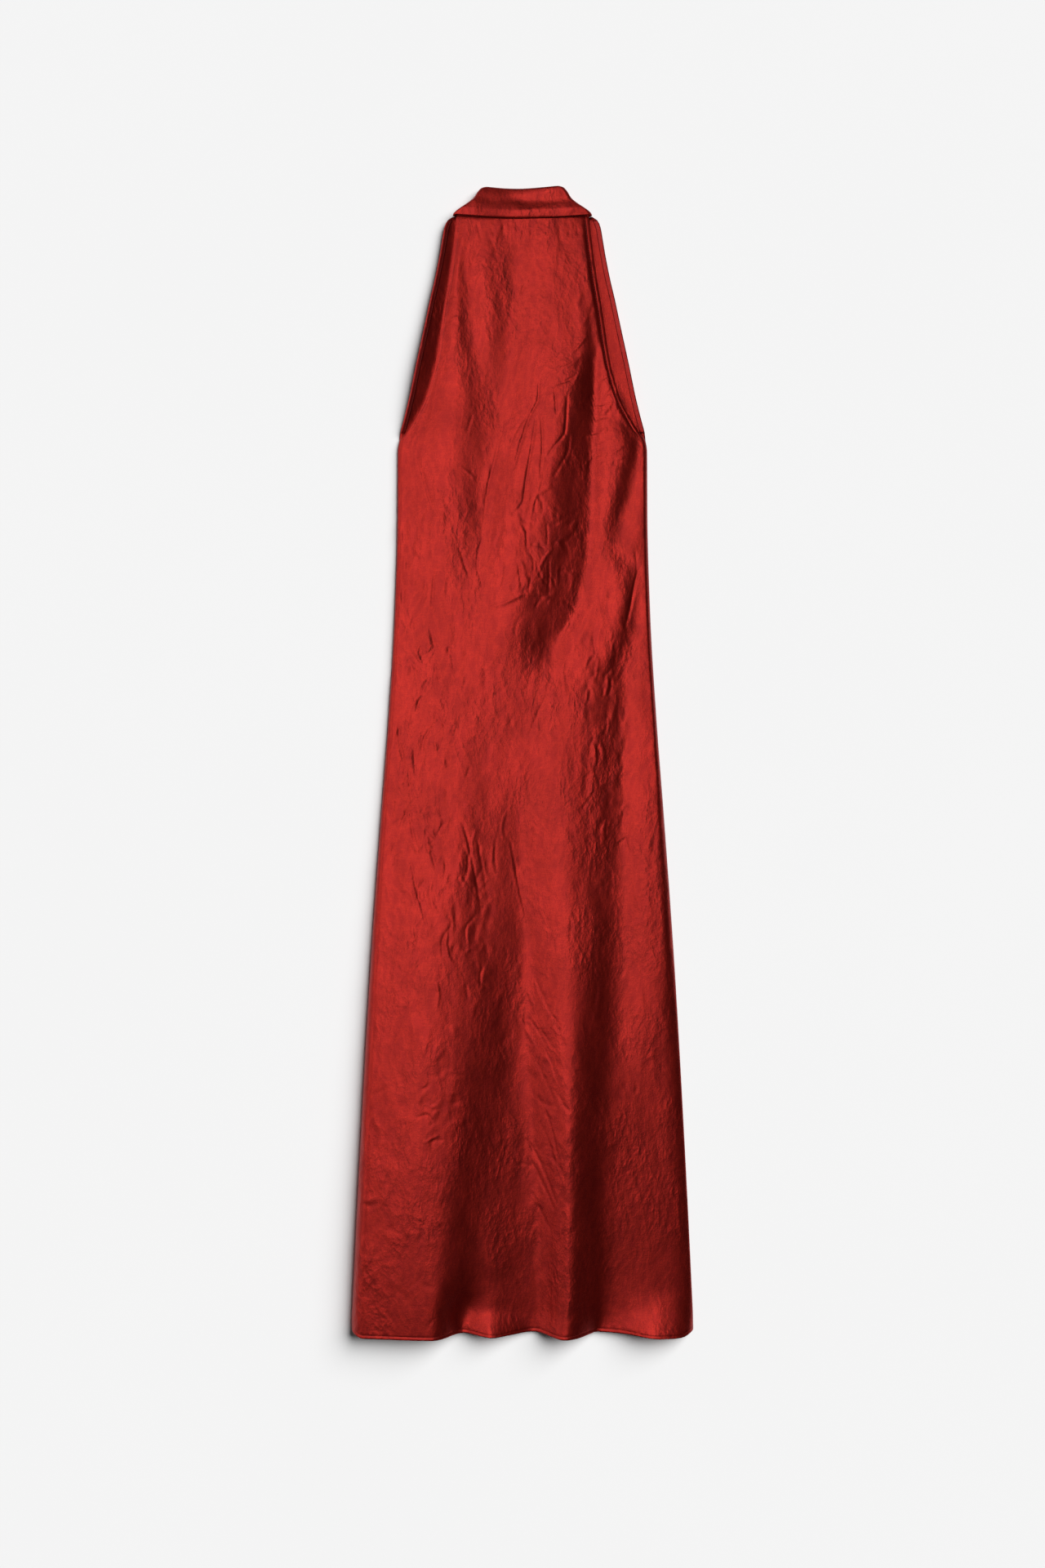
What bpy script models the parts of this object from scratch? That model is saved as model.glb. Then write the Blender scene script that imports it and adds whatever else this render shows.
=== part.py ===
"""A long sleeveless dress with a stand collar, laid out face up on a flat surface.

Run it with blender --background --python part.py, or from Blender's text editor.
Metres, +Z up.  The resting surface is z = 0, +X is to the right of someone who looks
down on the dress, and +Y runs from the hem to the collar.  The origin is under the
middle of the dress.  The tables are in millimetres: above_hem is the distance from
the hem's lowest point towards the collar, x is the distance from the centre line, and
height is the height of a layer's upper face over the resting surface.
"""

import math

import bmesh
import bpy
import numpy as np

MM = 0.001

# Driving sizes, in millimetres.
LENGTH = 1402.0             # hem to the top of the collar
CLOTH = 1.2                 # wall of one layer of cloth
SEAM_GAP = 0.3              # clear gap between pieces that are sewn together
UNDERARM = 1094.0           # top of the side seams
COLLAR_HEIGHT = 35.0
NECK_SEAM = LENGTH - COLLAR_HEIGHT - SEAM_GAP       # the panels meet the collar here
NECK_DIP = 3.5              # how far the neck seam drops at the centre
SIDE_SLANT = 0.95           # the front's side wall slants in, so its foot needs this
SEAM_REST = CLOTH + SEAM_GAP + SIDE_SLANT           # foot of that wall, on the back
ARMHOLE_REST = 3.6          # upper face of the front's free armhole edge
ARMHOLE_EASE = 20.0         # the side's foot climbs to that edge over this length
HEM_LIFT = 4.5              # how much shorter the front lies in the fold valleys
HEM_CORNER = 3.0            # further rise of the hem at its two corners
HEM_CORNER_REACH = 15.0
HEM_BLEND = 60.0            # the hem's curve fades out this far above it
FOLD_TOP = 29.0             # highest fold
FOLD_FLOOR = 4.0            # upper face of the front in its valleys
BACK_HEM = 5.0              # the back's hem lies inside the front's
SLIT_LENGTH = 200.0         # opening at the centre back, closed at the collar
SLIT_WIDTH = 1.5
FACING_WIDTH = 5.5
FACING_WALL = 1.0
FACING_FOOT = 1112.0        # lower and upper ends of the back armhole facings
FACING_HEAD = 1356.0
ARMHOLE_CURL = 0.44         # rise of the back's armhole edge over the width that shows
CURL_POWER = 1.12
COLLAR_WALL = 2.0
COLLAR_FOLD = 5.0           # how wide the collar's side fold is
COLLAR_TOP_DIP = 2.0
FRONT_SPANS = (3, 1, 2, 2, 2, 1, 2, 1, 1, 1, 1, 1, 1, 2, 2)     # faces between fold lines
SIDE_TURN = (30, 60, 90)    # degrees round the front's side where it has points
BACK_SHARES = (0.35, 0.7, 1.0)          # the back's points on the way to its curl
BUTTON_WIDTH = 11.0
BUTTON_HEAD = 1.0
BUTTON_EDGE = 0.4           # rounding of its rim
BUTTON_SHANK = 4.0
BUTTON_X = 7.0
BUTTON_RISE = 20.0          # above the neck seam
BUTTON_LIFT = 2.8           # the collar's back is raised this much by its button
LOOP_CORD = 0.9
LOOP_START_X = -3.5

RED = (0.40, 0.030, 0.022, 1.0)
DEEP_RED = (0.27, 0.018, 0.016, 1.0)


def table(columns, *rows):
    """Return a table as one array for each named column."""
    return dict(zip(columns.split(), np.array(rows, float).T))


SIDE = table(
    "above_hem half_width",
    (0, 209.0), (17, 208.7), (81, 206.0), (251, 197.5), (452, 186.0), (628, 173.5),
    (752, 164.0), (877, 156.5), (997, 153.0), (1080, 152.5), (UNDERARM, 150.5))

FRONT_ARMHOLE = table(
    "above_hem half_width",
    (UNDERARM, 150.5), (1107, 140.0), (1120, 132.0), (1130, 126.0), (1143, 120.0),
    (1161, 114.0), (1188, 107.0), (1218, 102.0), (1253, 97.0), (1289, 91.0),
    (1338, 84.0), (NECK_SEAM, 81.0))

BACK_ARMHOLE = table(
    "above_hem half_width",
    (UNDERARM, 150.5), (1103, 149.0), (1117, 145.0), (1144, 138.0), (1182, 130.0),
    (1233, 119.0), (1264, 112.5), (1290, 106.5), (1318, 101.0), (1339, 97.5),
    (1353, 95.0), (1362, 91.0), (NECK_SEAM, 85.0))

# The rounded sides: how far in from the side seam the layer is level again, and how
# high it is there.
LEFT_SIDE = table(
    "above_hem reach height",
    (0, 19, 24.0), (81, 17, 23.5), (251, 14, 20.0), (478, 11, 14.5), (628, 9, 10.0),
    (752, 8, 8.0), (UNDERARM, 7, 6.0), (1130, 4, 5.0), (NECK_SEAM, 4, 4.8))
RIGHT_SIDE = table(
    "above_hem reach height",
    (0, 34, 24.5), (30, 33, 13.5), (60, 31, 9.0), (100, 29, 8.2), (163, 26, 7.8), (251, 24, 7.5),
    (330, 22, 8.0), (420, 18, 10.0), (500, 13, 12.0), (628, 9, 12.0), (752, 6, 11.0),
    (960, 6, 10.0), (UNDERARM, 6, 7.0), (1130, 4, 5.2), (NECK_SEAM, 4, 4.6))

# The folds of the front: where each line runs and how high it lies. The surface goes
# straight from one line to the next, rounded at each line over its own reach.
FOLD_REACH = dict(left_crest=22, left_brow=14, left_floor=12, pleat=9, centre_floor=10,
                  rise=12, crest=14, shoulder=12, slope=9, floor=5, far_side=7,
                  band_crest=9, band_floor=9, right_ridge=14)
FOLD_X = table(
    "above_hem left_crest left_brow left_floor pleat centre_floor rise crest shoulder"
    " slope floor far_side band_crest band_floor right_ridge",
    (0, -116, -98, -76, -38, 10, 26, 40, 60, 76, 90, 98, 112, 134, 157),
    (30, -118, -100, -74, -42, -2, 30, 43, 58, 80, 96, 106, 118, 136, 156),
    (60, -120, -94, -66, -36, -2, 27, 46, 57, 80, 97, 108, 120, 136, 156),
    (100, -121, -92, -62, -34, -2, 27, 46, 58, 79, 97, 109, 120, 134, 156),
    (163, -122, -87, -56, -28, 0, 28, 46, 60, 78, 94, 106, 118, 132, 156),
    (251, -120, -79, -46, -20, 6, 24, 48, 62, 75, 90, 104, 116, 128, 156),
    (330, -116, -74, -44, -18, 4, 20, 50, 64, 77, 90, 103, 115, 128, 154),
    (420, -112, -68, -46, -18, 7, 19, 50, 65, 78, 91, 103, 114, 126, 152),
    (500, -104, -72, -52, -28, 3, 17, 50, 65, 80, 93, 103, 113, 127, 146),
    (560, -90, -68, -47, -32, 0, 13, 50, 64, 79, 91, 102, 114, 126, 141),
    (620, -84, -62, -46, -32, 0, 14, 48, 62, 78, 91, 102, 114, 125, 138),
    (700, -90, -70, -56, -40, -10, 12, 48, 60, 76, 91, 102, 115, 125, 137),
    (780, -96, -80, -62, -34, -16, 0, 14, 36, 62, 78, 93, 108, 124, 136),
    (810, -96, -80, -62, -38, -22, -8, 2, 14, 28, 43, 78, 103, 124, 137),
    (840, -96, -80, -62, -46, -32, -22, -8, 11, 27, 41, 60, 113, 127, 141),
    (870, -96, -80, -62, -48, -34, -22, -9, 15, 36, 57, 73, 117, 136, 146),
    (900, -96, -78, -58, -44, -34, -24, -6, 22, 44, 70, 86, 124, 137, 146),
    (930, -96, -78, -58, -46, -36, -22, -2, 27, 47, 76, 90, 117, 138, 146),
    (960, -96, -76, -58, -46, -36, -14, 30, 42, 57, 81, 91, 99, 114, 132),
    (990, -92, -76, -60, -45, -36, -16, 32, 44, 56, 82, 91, 102, 120, 134),
    (1037, -86, -76, -61, -45, -36, -12, 30, 42, 56, 85, 93, 116, 133, 143),
    (1085, -82, -75, -60, -43, -28, 0, 37, 47, 58, 87, 93, 125, 140, 144),
    (1130, -80, -74, -57, -40, -24, 2, 45, 58, 70, 88, 94, 107, 115, 119),
    (1172, -80, -76, -59, -42, -22, 4, 50, 63, 74, 88, 95, 101, 103, 105),
    (1200, -84, -76, -58, -44, -13, 5, 50, 61, 80, 88, 94, 96, 98, 99),
    (1225, -86, -78, -61, -45, -12, 9, 48, 58, 78, 86, 90, 92, 93, 94),
    (1265, -84, -78, -63, -45, -10, 15, 46, 56, 73, 82, 85, 86, 87, 88),
    (1320, -79, -72, -64, -46, -10, 16, 43, 53, 70, 75, 77, 78, 79, 79.6),
    (NECK_SEAM, -68, -60, -52, -38, -12, 18, 40, 50, 60, 66, 69, 71, 73, 75))
FOLD_HEIGHT = table(
    "above_hem left_crest left_brow left_floor pleat centre_floor rise crest shoulder"
    " slope floor far_side band_crest band_floor right_ridge",
    (0, 29.5, 29.3, 4.0, 24.5, 3.8, 6.0, 28.5, 28.5, 17.0, 4.0, 6.5, 8.0, 14.0, 26.2),
    (30, 29.5, 29.0, 4.8, 11.0, 5.6, 4.2, 26.0, 27.5, 16.0, 7.0, 6.6, 7.6, 9.8, 13.0),
    (60, 29.4, 28.4, 12.0, 10.6, 6.6, 4.0, 25.5, 27.2, 17.0, 8.6, 7.4, 7.6, 8.4, 9.2),
    (100, 29.2, 27.6, 15.6, 12.0, 6.4, 4.4, 25.2, 26.8, 18.0, 10.4, 8.6, 8.6, 8.4, 8.4),
    (163, 28.6, 26.0, 15.4, 10.4, 5.6, 6.4, 24.8, 26.2, 19.4, 12.2, 10.0, 9.0, 8.8, 8.4),
    (251, 27.4, 24.0, 13.6, 7.4, 4.4, 8.6, 24.6, 25.4, 20.8, 14.2, 10.6, 9.4, 8.6, 7.8),
    (330, 25.6, 21.8, 13.6, 6.4, 4.2, 9.8, 22.8, 22.8, 19.0, 13.8, 9.4, 7.8, 7.6, 8.4),
    (420, 22.4, 18.4, 14.0, 6.4, 4.2, 8.8, 18.8, 18.9, 16.5, 12.7, 8.3, 5.8, 5.8, 9.8),
    (500, 19.4, 16.8, 12.6, 9.4, 4.0, 8.2, 15.4, 15.2, 13.8, 11.4, 8.4, 6.2, 6.0, 11.2),
    (560, 16.0, 13.8, 9.4, 8.6, 4.0, 7.4, 14.0, 13.4, 12.0, 10.2, 8.2, 6.0, 5.8, 10.6),
    (620, 13.4, 11.8, 9.2, 8.8, 5.2, 8.0, 13.6, 13.4, 12.5, 11.1, 9.2, 6.4, 6.2, 10.6),
    (700, 11.4, 11.2, 10.8, 10.4, 9.8, 10.4, 13.2, 13.2, 12.4, 11.3, 9.8, 7.6, 6.4, 10.2),
    (780, 11.0, 11.2, 11.4, 11.6, 11.4, 10.8, 10.8, 12.2, 13.8, 13.4, 12.2, 10.4, 7.4, 9.8),
    (810, 11.0, 11.4, 11.8, 12.4, 12.4, 12.0, 11.2, 9.6, 9.0, 10.6, 13.4, 11.0, 6.6, 9.4),
    (840, 11.0, 11.4, 12.0, 12.8, 13.6, 14.0, 13.8, 10.2, 5.6, 4.6, 10.0, 12.8, 7.0, 9.4),
    (870, 11.0, 11.4, 12.2, 13.4, 15.0, 16.4, 17.4, 13.4, 8.2, 4.3, 8.8, 12.8, 8.0, 9.4),
    (900, 11.4, 11.8, 12.2, 13.0, 14.6, 16.4, 18.6, 13.6, 9.0, 4.3, 8.2, 12.8, 8.6, 9.6),
    (930, 12.4, 12.0, 11.6, 11.8, 13.4, 16.6, 19.0, 15.8, 10.4, 4.3, 7.6, 11.2, 9.0, 9.8),
    (960, 13.2, 12.2, 10.6, 10.2, 12.2, 17.6, 16.8, 14.4, 9.4, 4.3, 7.6, 8.8, 7.6, 10.8),
    (990, 13.6, 12.4, 10.0, 8.8, 11.2, 17.4, 17.0, 15.2, 11.4, 4.3, 7.8, 9.8, 5.6, 9.4),
    (1037, 14.0, 12.6, 10.0, 8.0, 9.6, 16.4, 17.8, 16.0, 11.8, 4.2, 8.4, 11.8, 5.0, 8.4),
    (1085, 14.0, 12.4, 9.6, 7.2, 7.8, 12.4, 18.0, 17.2, 13.6, 4.2, 8.8, 12.2, 5.8, 6.4),
    (1130, 13.2, 11.6, 7.6, 4.8, 4.2, 9.8, 17.4, 16.6, 12.6, 4.4, 8.6, 9.4, 10.3, 10.3),
    (1172, 12.2, 10.8, 6.4, 5.2, 3.9, 8.6, 15.8, 16.0, 13.4, 5.0, 8.8, 9.6, 9.8, 9.6),
    (1200, 11.4, 9.6, 4.6, 7.0, 3.9, 8.4, 12.6, 13.8, 13.2, 8.4, 10.4, 10.6, 10.5, 10.3),
    (1225, 10.8, 9.0, 4.5, 8.0, 4.0, 7.4, 11.4, 11.6, 12.2, 9.2, 9.8, 9.9, 9.8, 9.6),
    (1265, 9.4, 7.8, 4.5, 8.4, 4.0, 7.2, 10.4, 9.4, 10.2, 9.6, 9.8, 9.7, 9.6, 9.3),
    (1320, 7.8, 6.8, 5.4, 7.6, 4.6, 6.8, 9.2, 8.3, 9.2, 9.4, 9.5, 9.5, 9.4, 9.2),
    (NECK_SEAM, 6.2, 6.0, 5.6, 6.2, 5.6, 6.8, 7.2, 6.8, 6.8, 6.6, 6.4, 6.2, 6.0, 5.6))

COLLAR_OUTLINE = table(
    "rise half_width",
    (0.0, 85.0), (1.5, 84.6), (5.0, 81.5), (9.5, 75.5), (15.5, 67.0), (21.5, 60.0),
    (30.0, 54.0), (33.5, 50.5), (COLLAR_HEIGHT, 47.0))
COLLAR_BODY = table(
    "rise front_height back_height",
    (0.0, 8.6, 0.0), (5.0, 9.2, 0.2), (9.5, 10.0, 1.5), (15.5, 10.5, BUTTON_LIFT),
    (24.0, 10.3, BUTTON_LIFT), (COLLAR_HEIGHT, 9.4, BUTTON_LIFT))


def curve(stations, values, at):
    """Read a smooth curve through the stations that never swings past a value."""
    at = np.clip(at, stations[0], stations[-1])
    step = np.diff(stations)
    grade = np.diff(values) / step
    slope = np.empty(len(stations))
    slope[0], slope[-1] = grade[0], grade[-1]
    before, after = grade[:-1], grade[1:]
    same_way = before * after > 0
    weight_a, weight_b = 2 * step[1:] + step[:-1], step[1:] + 2 * step[:-1]
    safe = np.where(same_way, before, 1.0), np.where(same_way, after, 1.0)
    mean = (weight_a + weight_b) / (weight_a / safe[0] + weight_b / safe[1])
    slope[1:-1] = np.where(same_way, mean, 0.0)
    left = np.clip(np.searchsorted(stations, at, side="right") - 1, 0, len(step) - 1)
    width = step[left]
    t = (at - stations[left]) / width
    return ((1 + 2 * t) * (1 - t) ** 2 * values[left]
            + t * (1 - t) ** 2 * width * slope[left]
            + t ** 2 * (3 - 2 * t) * values[left + 1]
            - t ** 2 * (1 - t) * width * slope[left + 1])


def read(source, column, at, key="above_hem"):
    """Read one column of a table at a station between its rows."""
    return curve(source[key], source[column], at)


def half_width(armhole, above_hem):
    """Half the width of a panel: its side seam, then its armhole."""
    source = SIDE if above_hem <= UNDERARM else armhole
    return float(read(source, "half_width", above_hem))


def ease(t):
    """Go smoothly from 0 to 1."""
    t = np.clip(t, 0.0, 1.0)
    return t * t * (3 - 2 * t)


def side_foot(above_hem):
    """Upper face of the front at its side: on the back's seam, or free at the armhole."""
    lift = ease((above_hem - UNDERARM) / ARMHOLE_EASE)
    return SEAM_REST + (ARMHOLE_REST - SEAM_REST) * lift


def ramp(x, reach):
    """Rise of 1 in 1 that starts at 0, eased in over a reach on both sides of it."""
    return np.where(x < reach, np.clip(x + reach, 0, None) ** 2 / (4 * reach), x)


def folds(x, above_hem):
    """Height of the front's folds at points along one section."""
    width = half_width(FRONT_ARMHOLE, above_hem)
    left, right = ([float(read(side, column, above_hem)) for column in ("reach", "height")]
                   for side in (LEFT_SIDE, RIGHT_SIDE))
    lines = [left[0] - width, *(float(read(FOLD_X, name, above_hem)) for name in FOLD_REACH),
             width - right[0]]
    levels = [left[1], *(float(read(FOLD_HEIGHT, name, above_hem)) for name in FOLD_REACH),
              right[1]]
    grades = np.diff(levels) / np.diff(lines)
    inner = np.clip(x, lines[0], lines[-1])
    height = levels[0] + grades[0] * (inner - lines[0])
    for i, reach in enumerate(FOLD_REACH.values(), 1):
        reach = min(reach, lines[i] - lines[0], lines[-1] - lines[i])
        height += (grades[i] - grades[i - 1]) * ramp(inner - lines[i], reach)
    return height


def front_section(above_hem):
    """Points (x, height) of the front's upper face across one section, left to right."""
    width = half_width(FRONT_ARMHOLE, above_hem)
    foot = side_foot(above_hem)
    left_reach = float(read(LEFT_SIDE, "reach", above_hem))
    right_reach = float(read(RIGHT_SIDE, "reach", above_hem))
    xs = ([left_reach - width] + [float(read(FOLD_X, name, above_hem)) for name in FOLD_REACH]
          + [width - right_reach])
    across = np.concatenate([np.linspace(xs[i], xs[i + 1], count, endpoint=False)
                             for i, count in enumerate(FRONT_SPANS)] + [xs[-1:]])
    level = folds(across, above_hem)
    points = list(zip(across, level))
    for angle in SIDE_TURN:
        inward, upward = math.sin(math.radians(angle)), math.cos(math.radians(angle))
        points.insert(0, (left_reach * (1 - inward) - width,
                          foot + (level[0] - foot) * upward))
        points.append((width - right_reach * (1 - inward),
                       foot + (level[-1] - foot) * upward))
    return points


def neck_dip(x):
    """How far the neck seam lies below its ends at a distance from the centre."""
    end = float(COLLAR_OUTLINE["half_width"][0])
    return NECK_DIP * max(0.0, 1 - (x / end) ** 2)


def front_rise(x, height, above_hem):
    """Shift of a front point along the dress, from the curves of its hem and neck."""
    shorter = HEM_LIFT * (1 - (height - FOLD_FLOOR) / (FOLD_TOP - FOLD_FLOOR))
    side = float(SIDE["half_width"][0]) - HEM_CORNER_REACH
    corner = HEM_CORNER * float(ease((abs(x) - side) / HEM_CORNER_REACH))
    near_hem = 1 - float(ease(above_hem / HEM_BLEND))
    near_neck = float(ease((above_hem - NECK_SEAM + HEM_BLEND) / HEM_BLEND))
    return near_hem * max(0.0, shorter + corner) - near_neck * neck_dip(x)


def place(x, above_hem, height):
    """Turn the table's millimetres into the model's metres."""
    return (x * MM, (above_hem - LENGTH / 2) * MM, height * MM)


def front_rows():
    """Sections of the front: those of the fold tables, and some between them."""
    between = (12, 45, 130, 205, 290, 375, 460, 530, 590, 660, 740, 1012, 1060, UNDERARM,
               1100, 1108, 1121, 1150, 1245, 1292, 1343)
    return sorted(between + tuple(FOLD_X["above_hem"][:-1])) + [NECK_SEAM - SEAM_GAP / 2]


def back_rows():
    """Sections of the back, with one at the slit's foot."""
    skirt = np.linspace(60, 1070, 15)
    slit_foot = NECK_SEAM - SLIT_LENGTH
    armhole = (UNDERARM, 1103, FACING_FOOT, 1124, 1144, slit_foot, 1192, 1218, 1244,
               1270, 1296, 1322, 1342, FACING_HEAD, 1362, NECK_SEAM - SEAM_GAP / 2)
    return np.concatenate([(BACK_HEM, 16), skirt, armhole])


def shown_width(above_hem):
    """Width of the back's inside that shows beside the front at an armhole."""
    return (half_width(BACK_ARMHOLE, above_hem) - half_width(FRONT_ARMHOLE, above_hem))


def back_height(x, above_hem):
    """Upper face of the back: flat, with its armhole edges curling up."""
    shown = shown_width(above_hem)
    if shown < 1.0:
        return CLOTH
    start = half_width(BACK_ARMHOLE, above_hem) - shown
    share = min(1.0, max(0.0, (abs(x) - start) / shown))
    return CLOTH + ARMHOLE_CURL * shown * share ** CURL_POWER


def back_half_section(above_hem):
    """Distances from the centre line of the back's points, centre to side."""
    width = half_width(BACK_ARMHOLE, above_hem)
    inner = width - max(3 * FACING_WIDTH, shown_width(above_hem))
    facing = width - FACING_WIDTH
    return ([SLIT_WIDTH / 2] + [inner * share for share in BACK_SHARES]
            + [(inner + facing) / 2, facing, (facing + width) / 2, width])


def back_point(x, above_hem):
    """Place of a point of the back's upper face."""
    side = float(SIDE["half_width"][0]) - HEM_CORNER_REACH
    corner = HEM_CORNER * float(ease((abs(x) - side) / HEM_CORNER_REACH))
    near_hem = 1 - float(ease((above_hem - BACK_HEM) / HEM_BLEND))
    near_neck = float(ease((above_hem - NECK_SEAM + HEM_BLEND) / HEM_BLEND))
    shift = near_hem * corner - near_neck * neck_dip(x)
    return place(x, above_hem + shift, back_height(x, above_hem))


def fabric(name, colour, roughness):
    """Material of one piece."""
    material = bpy.data.materials.new(name)
    material.use_nodes = True
    shader = material.node_tree.nodes["Principled BSDF"]
    shader.inputs["Base Color"].default_value = colour
    shader.inputs["Roughness"].default_value = roughness
    shader.inputs["Metallic"].default_value = 0.0
    return material


def add_object(name, mesh, collection, material):
    """Put a mesh in the dress's collection as a named piece."""
    piece = bpy.data.objects.new(name, mesh)
    piece.data.materials.append(material)
    collection.objects.link(piece)
    return piece


def loft(name, sections, wall, offset, collection, material, skip=None):
    """Make a cloth wall from a row of points for each section.

    wall is the wall's thickness and offset its side: -1 keeps the points on the face
    that the sections turn outwards, 1 on the other.  skip(row, column) leaves out the
    face there.
    """
    shape = bmesh.new()
    rows = [[shape.verts.new(point) for point in section] for section in sections]
    for row in range(len(rows) - 1):
        for column in range(len(rows[row]) - 1):
            if skip and skip(row, column):
                continue
            shape.faces.new((rows[row][column], rows[row][column + 1],
                             rows[row + 1][column + 1], rows[row + 1][column]))
    mesh = bpy.data.meshes.new(name)
    shape.to_mesh(mesh)
    shape.free()
    mesh.shade_smooth()
    piece = add_object(name, mesh, collection, material)
    solid = piece.modifiers.new("Wall", "SOLIDIFY")
    solid.thickness = wall * MM
    solid.offset = offset
    return piece


def make_front(collection):
    """The front panel, one piece from collar to hem, with its folds."""
    sections = []
    for above_hem in front_rows():
        section = front_section(above_hem)
        sections.append([place(x, above_hem + front_rise(x, height, above_hem), height)
                         for x, height in section])
    satin = fabric("front_satin", RED, 0.42)
    return loft("front_panel", sections, CLOTH, -1, collection, satin)


def make_back(collection):
    """The back panel, flat underneath, with a slit down from the neck."""
    rows = back_rows()
    sections = []
    for above_hem in rows:
        right = back_half_section(above_hem)
        sections.append([back_point(x, above_hem)
                         for x in [-x for x in reversed(right)] + right])
    middle = len(sections[0]) // 2 - 1
    slit_foot = NECK_SEAM - SLIT_LENGTH

    def in_slit(row, column):
        return column == middle and rows[row] >= slit_foot - 0.1

    satin = fabric("back_satin", DEEP_RED, 0.45)
    return loft("back_panel", sections, CLOTH, -1, collection, satin, skip=in_slit)


def make_facing(side, name, collection):
    """A narrow facing on the inside of the back's armhole, made from its points."""
    sections = []
    for above_hem in back_rows():
        if not FACING_FOOT - 0.1 <= above_hem <= FACING_HEAD + 0.1:
            continue
        edge = back_half_section(above_hem)[-3:]
        if side < 0:
            edge = [-x for x in reversed(edge)]
        points = [back_point(x, above_hem) for x in edge]
        sections.append([(x, y, z + SEAM_GAP * MM) for x, y, z in points])
    satin = fabric(name + "_satin", RED, 0.45)
    return loft(name, sections, FACING_WALL, 1, collection, satin)


def collar_section(rise):
    """Outer points (x, height) of the right half of the collar at one level.

    They run from the centre front round the side fold to the centre back.
    """
    width = float(read(COLLAR_OUTLINE, "half_width", rise, key="rise"))
    front = float(read(COLLAR_BODY, "front_height", rise, key="rise"))
    back = float(read(COLLAR_BODY, "back_height", rise, key="rise"))
    turn = width - COLLAR_FOLD
    middle, reach = (front + back) / 2, (front - back) / 2
    points = [(x, front) for x in np.linspace(SEAM_GAP / 2, turn, 6)[:-1]]
    for angle in range(0, 181, 30):
        around = math.radians(angle)
        points.append((turn + COLLAR_FOLD * math.sin(around),
                       middle + reach * math.cos(around)))
    points += [(x, back) for x in np.linspace(turn, SLIT_WIDTH / 2, 5)[1:]]
    return points


def make_collar_half(side, name, collection):
    """Half of the stand collar: from the centre front seam round to the back opening."""
    base = NECK_SEAM + SEAM_GAP
    top = COLLAR_HEIGHT
    widest = float(COLLAR_OUTLINE["half_width"][-1])
    sections = []
    for rise in COLLAR_OUTLINE["rise"]:
        section = []
        for x, height in collar_section(rise):
            dip = COLLAR_TOP_DIP * max(0.0, 1 - (x / widest) ** 2) * (rise / top) ** 2
            seam = neck_dip(x) * (1 - rise / top)
            section.append(place(side * x, base + rise - seam - dip, height))
        sections.append(section if side > 0 else section[::-1])
    satin = fabric(name + "_satin", RED, 0.40)
    return loft(name, sections, COLLAR_WALL, -1, collection, satin)


def make_button(collection):
    """The covered button on the right end of the collar, a turned head and shank."""
    head, shank = BUTTON_WIDTH / 2, BUTTON_SHANK / 2
    top = BUTTON_LIFT - SEAM_GAP
    rim = head - BUTTON_EDGE
    profile = ((0.0, top), (shank, top), (shank, BUTTON_HEAD), (rim, BUTTON_HEAD),
               (head, BUTTON_HEAD / 2), (rim, 0.0), (0.0, 0.0))
    mesh = bpy.data.meshes.new("neck_button")
    points = [(radius * MM, 0.0, height * MM) for radius, height in profile]
    mesh.from_pydata(points, [(i, i + 1) for i in range(len(points) - 1)], [])
    piece = add_object("neck_button", mesh, collection,
                       fabric("button_satin", DEEP_RED, 0.4))
    piece.location = place(BUTTON_X, NECK_SEAM + BUTTON_RISE, 0.0)
    turn = piece.modifiers.new("Turn", "SCREW")
    turn.axis = "Z"
    turn.steps = 24
    turn.render_steps = 24
    turn.use_merge_vertices = True
    turn.merge_threshold = 0.00001
    return piece


def make_loop(collection):
    """The cord loop on the left end of the collar, round the button's shank."""
    level = (BUTTON_HEAD + BUTTON_LIFT - SEAM_GAP) / 2
    ring = BUTTON_SHANK / 2 + 2 * SEAM_GAP + LOOP_CORD / 2
    centre = NECK_SEAM + BUTTON_RISE
    route = [(LOOP_START_X, centre + ring, level)]
    for angle in range(90, -91, -30):
        around = math.radians(angle)
        route.append((BUTTON_X + ring * math.cos(around),
                      centre + ring * math.sin(around), level))
    route.append((LOOP_START_X, centre - ring, level))
    cord = bpy.data.curves.new("neck_loop", "CURVE")
    cord.dimensions = "3D"
    cord.bevel_depth = LOOP_CORD / 2 * MM
    cord.bevel_resolution = 2
    cord.use_fill_caps = True
    line = cord.splines.new("POLY")
    line.points.add(len(route) - 1)
    for point, spot in zip(line.points, route):
        point.co = (*place(*spot), 1.0)
    return add_object("neck_loop", cord, collection, fabric("loop_satin", RED, 0.4))


def main():
    """Build every piece of the dress."""
    for leftover in list(bpy.data.objects):
        bpy.data.objects.remove(leftover, do_unlink=True)
    dress = bpy.data.collections.new("maxi_dress")
    bpy.context.scene.collection.children.link(dress)
    make_front(dress)
    make_back(dress)
    make_facing(-1, "armhole_facing_left", dress)
    make_facing(1, "armhole_facing_right", dress)
    make_collar_half(-1, "collar_left", dress)
    make_collar_half(1, "collar_right", dress)
    make_button(dress)
    make_loop(dress)


main()
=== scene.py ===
"""Finish of a long crinkled-satin dress with a stand collar, laid out on a flat surface.

The tables are in millimetres: above_hem is the distance from the hem's lowest point
towards the collar, x the distance from the centre line, height the height of a
layer's upper face over the resting surface.
"""

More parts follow.
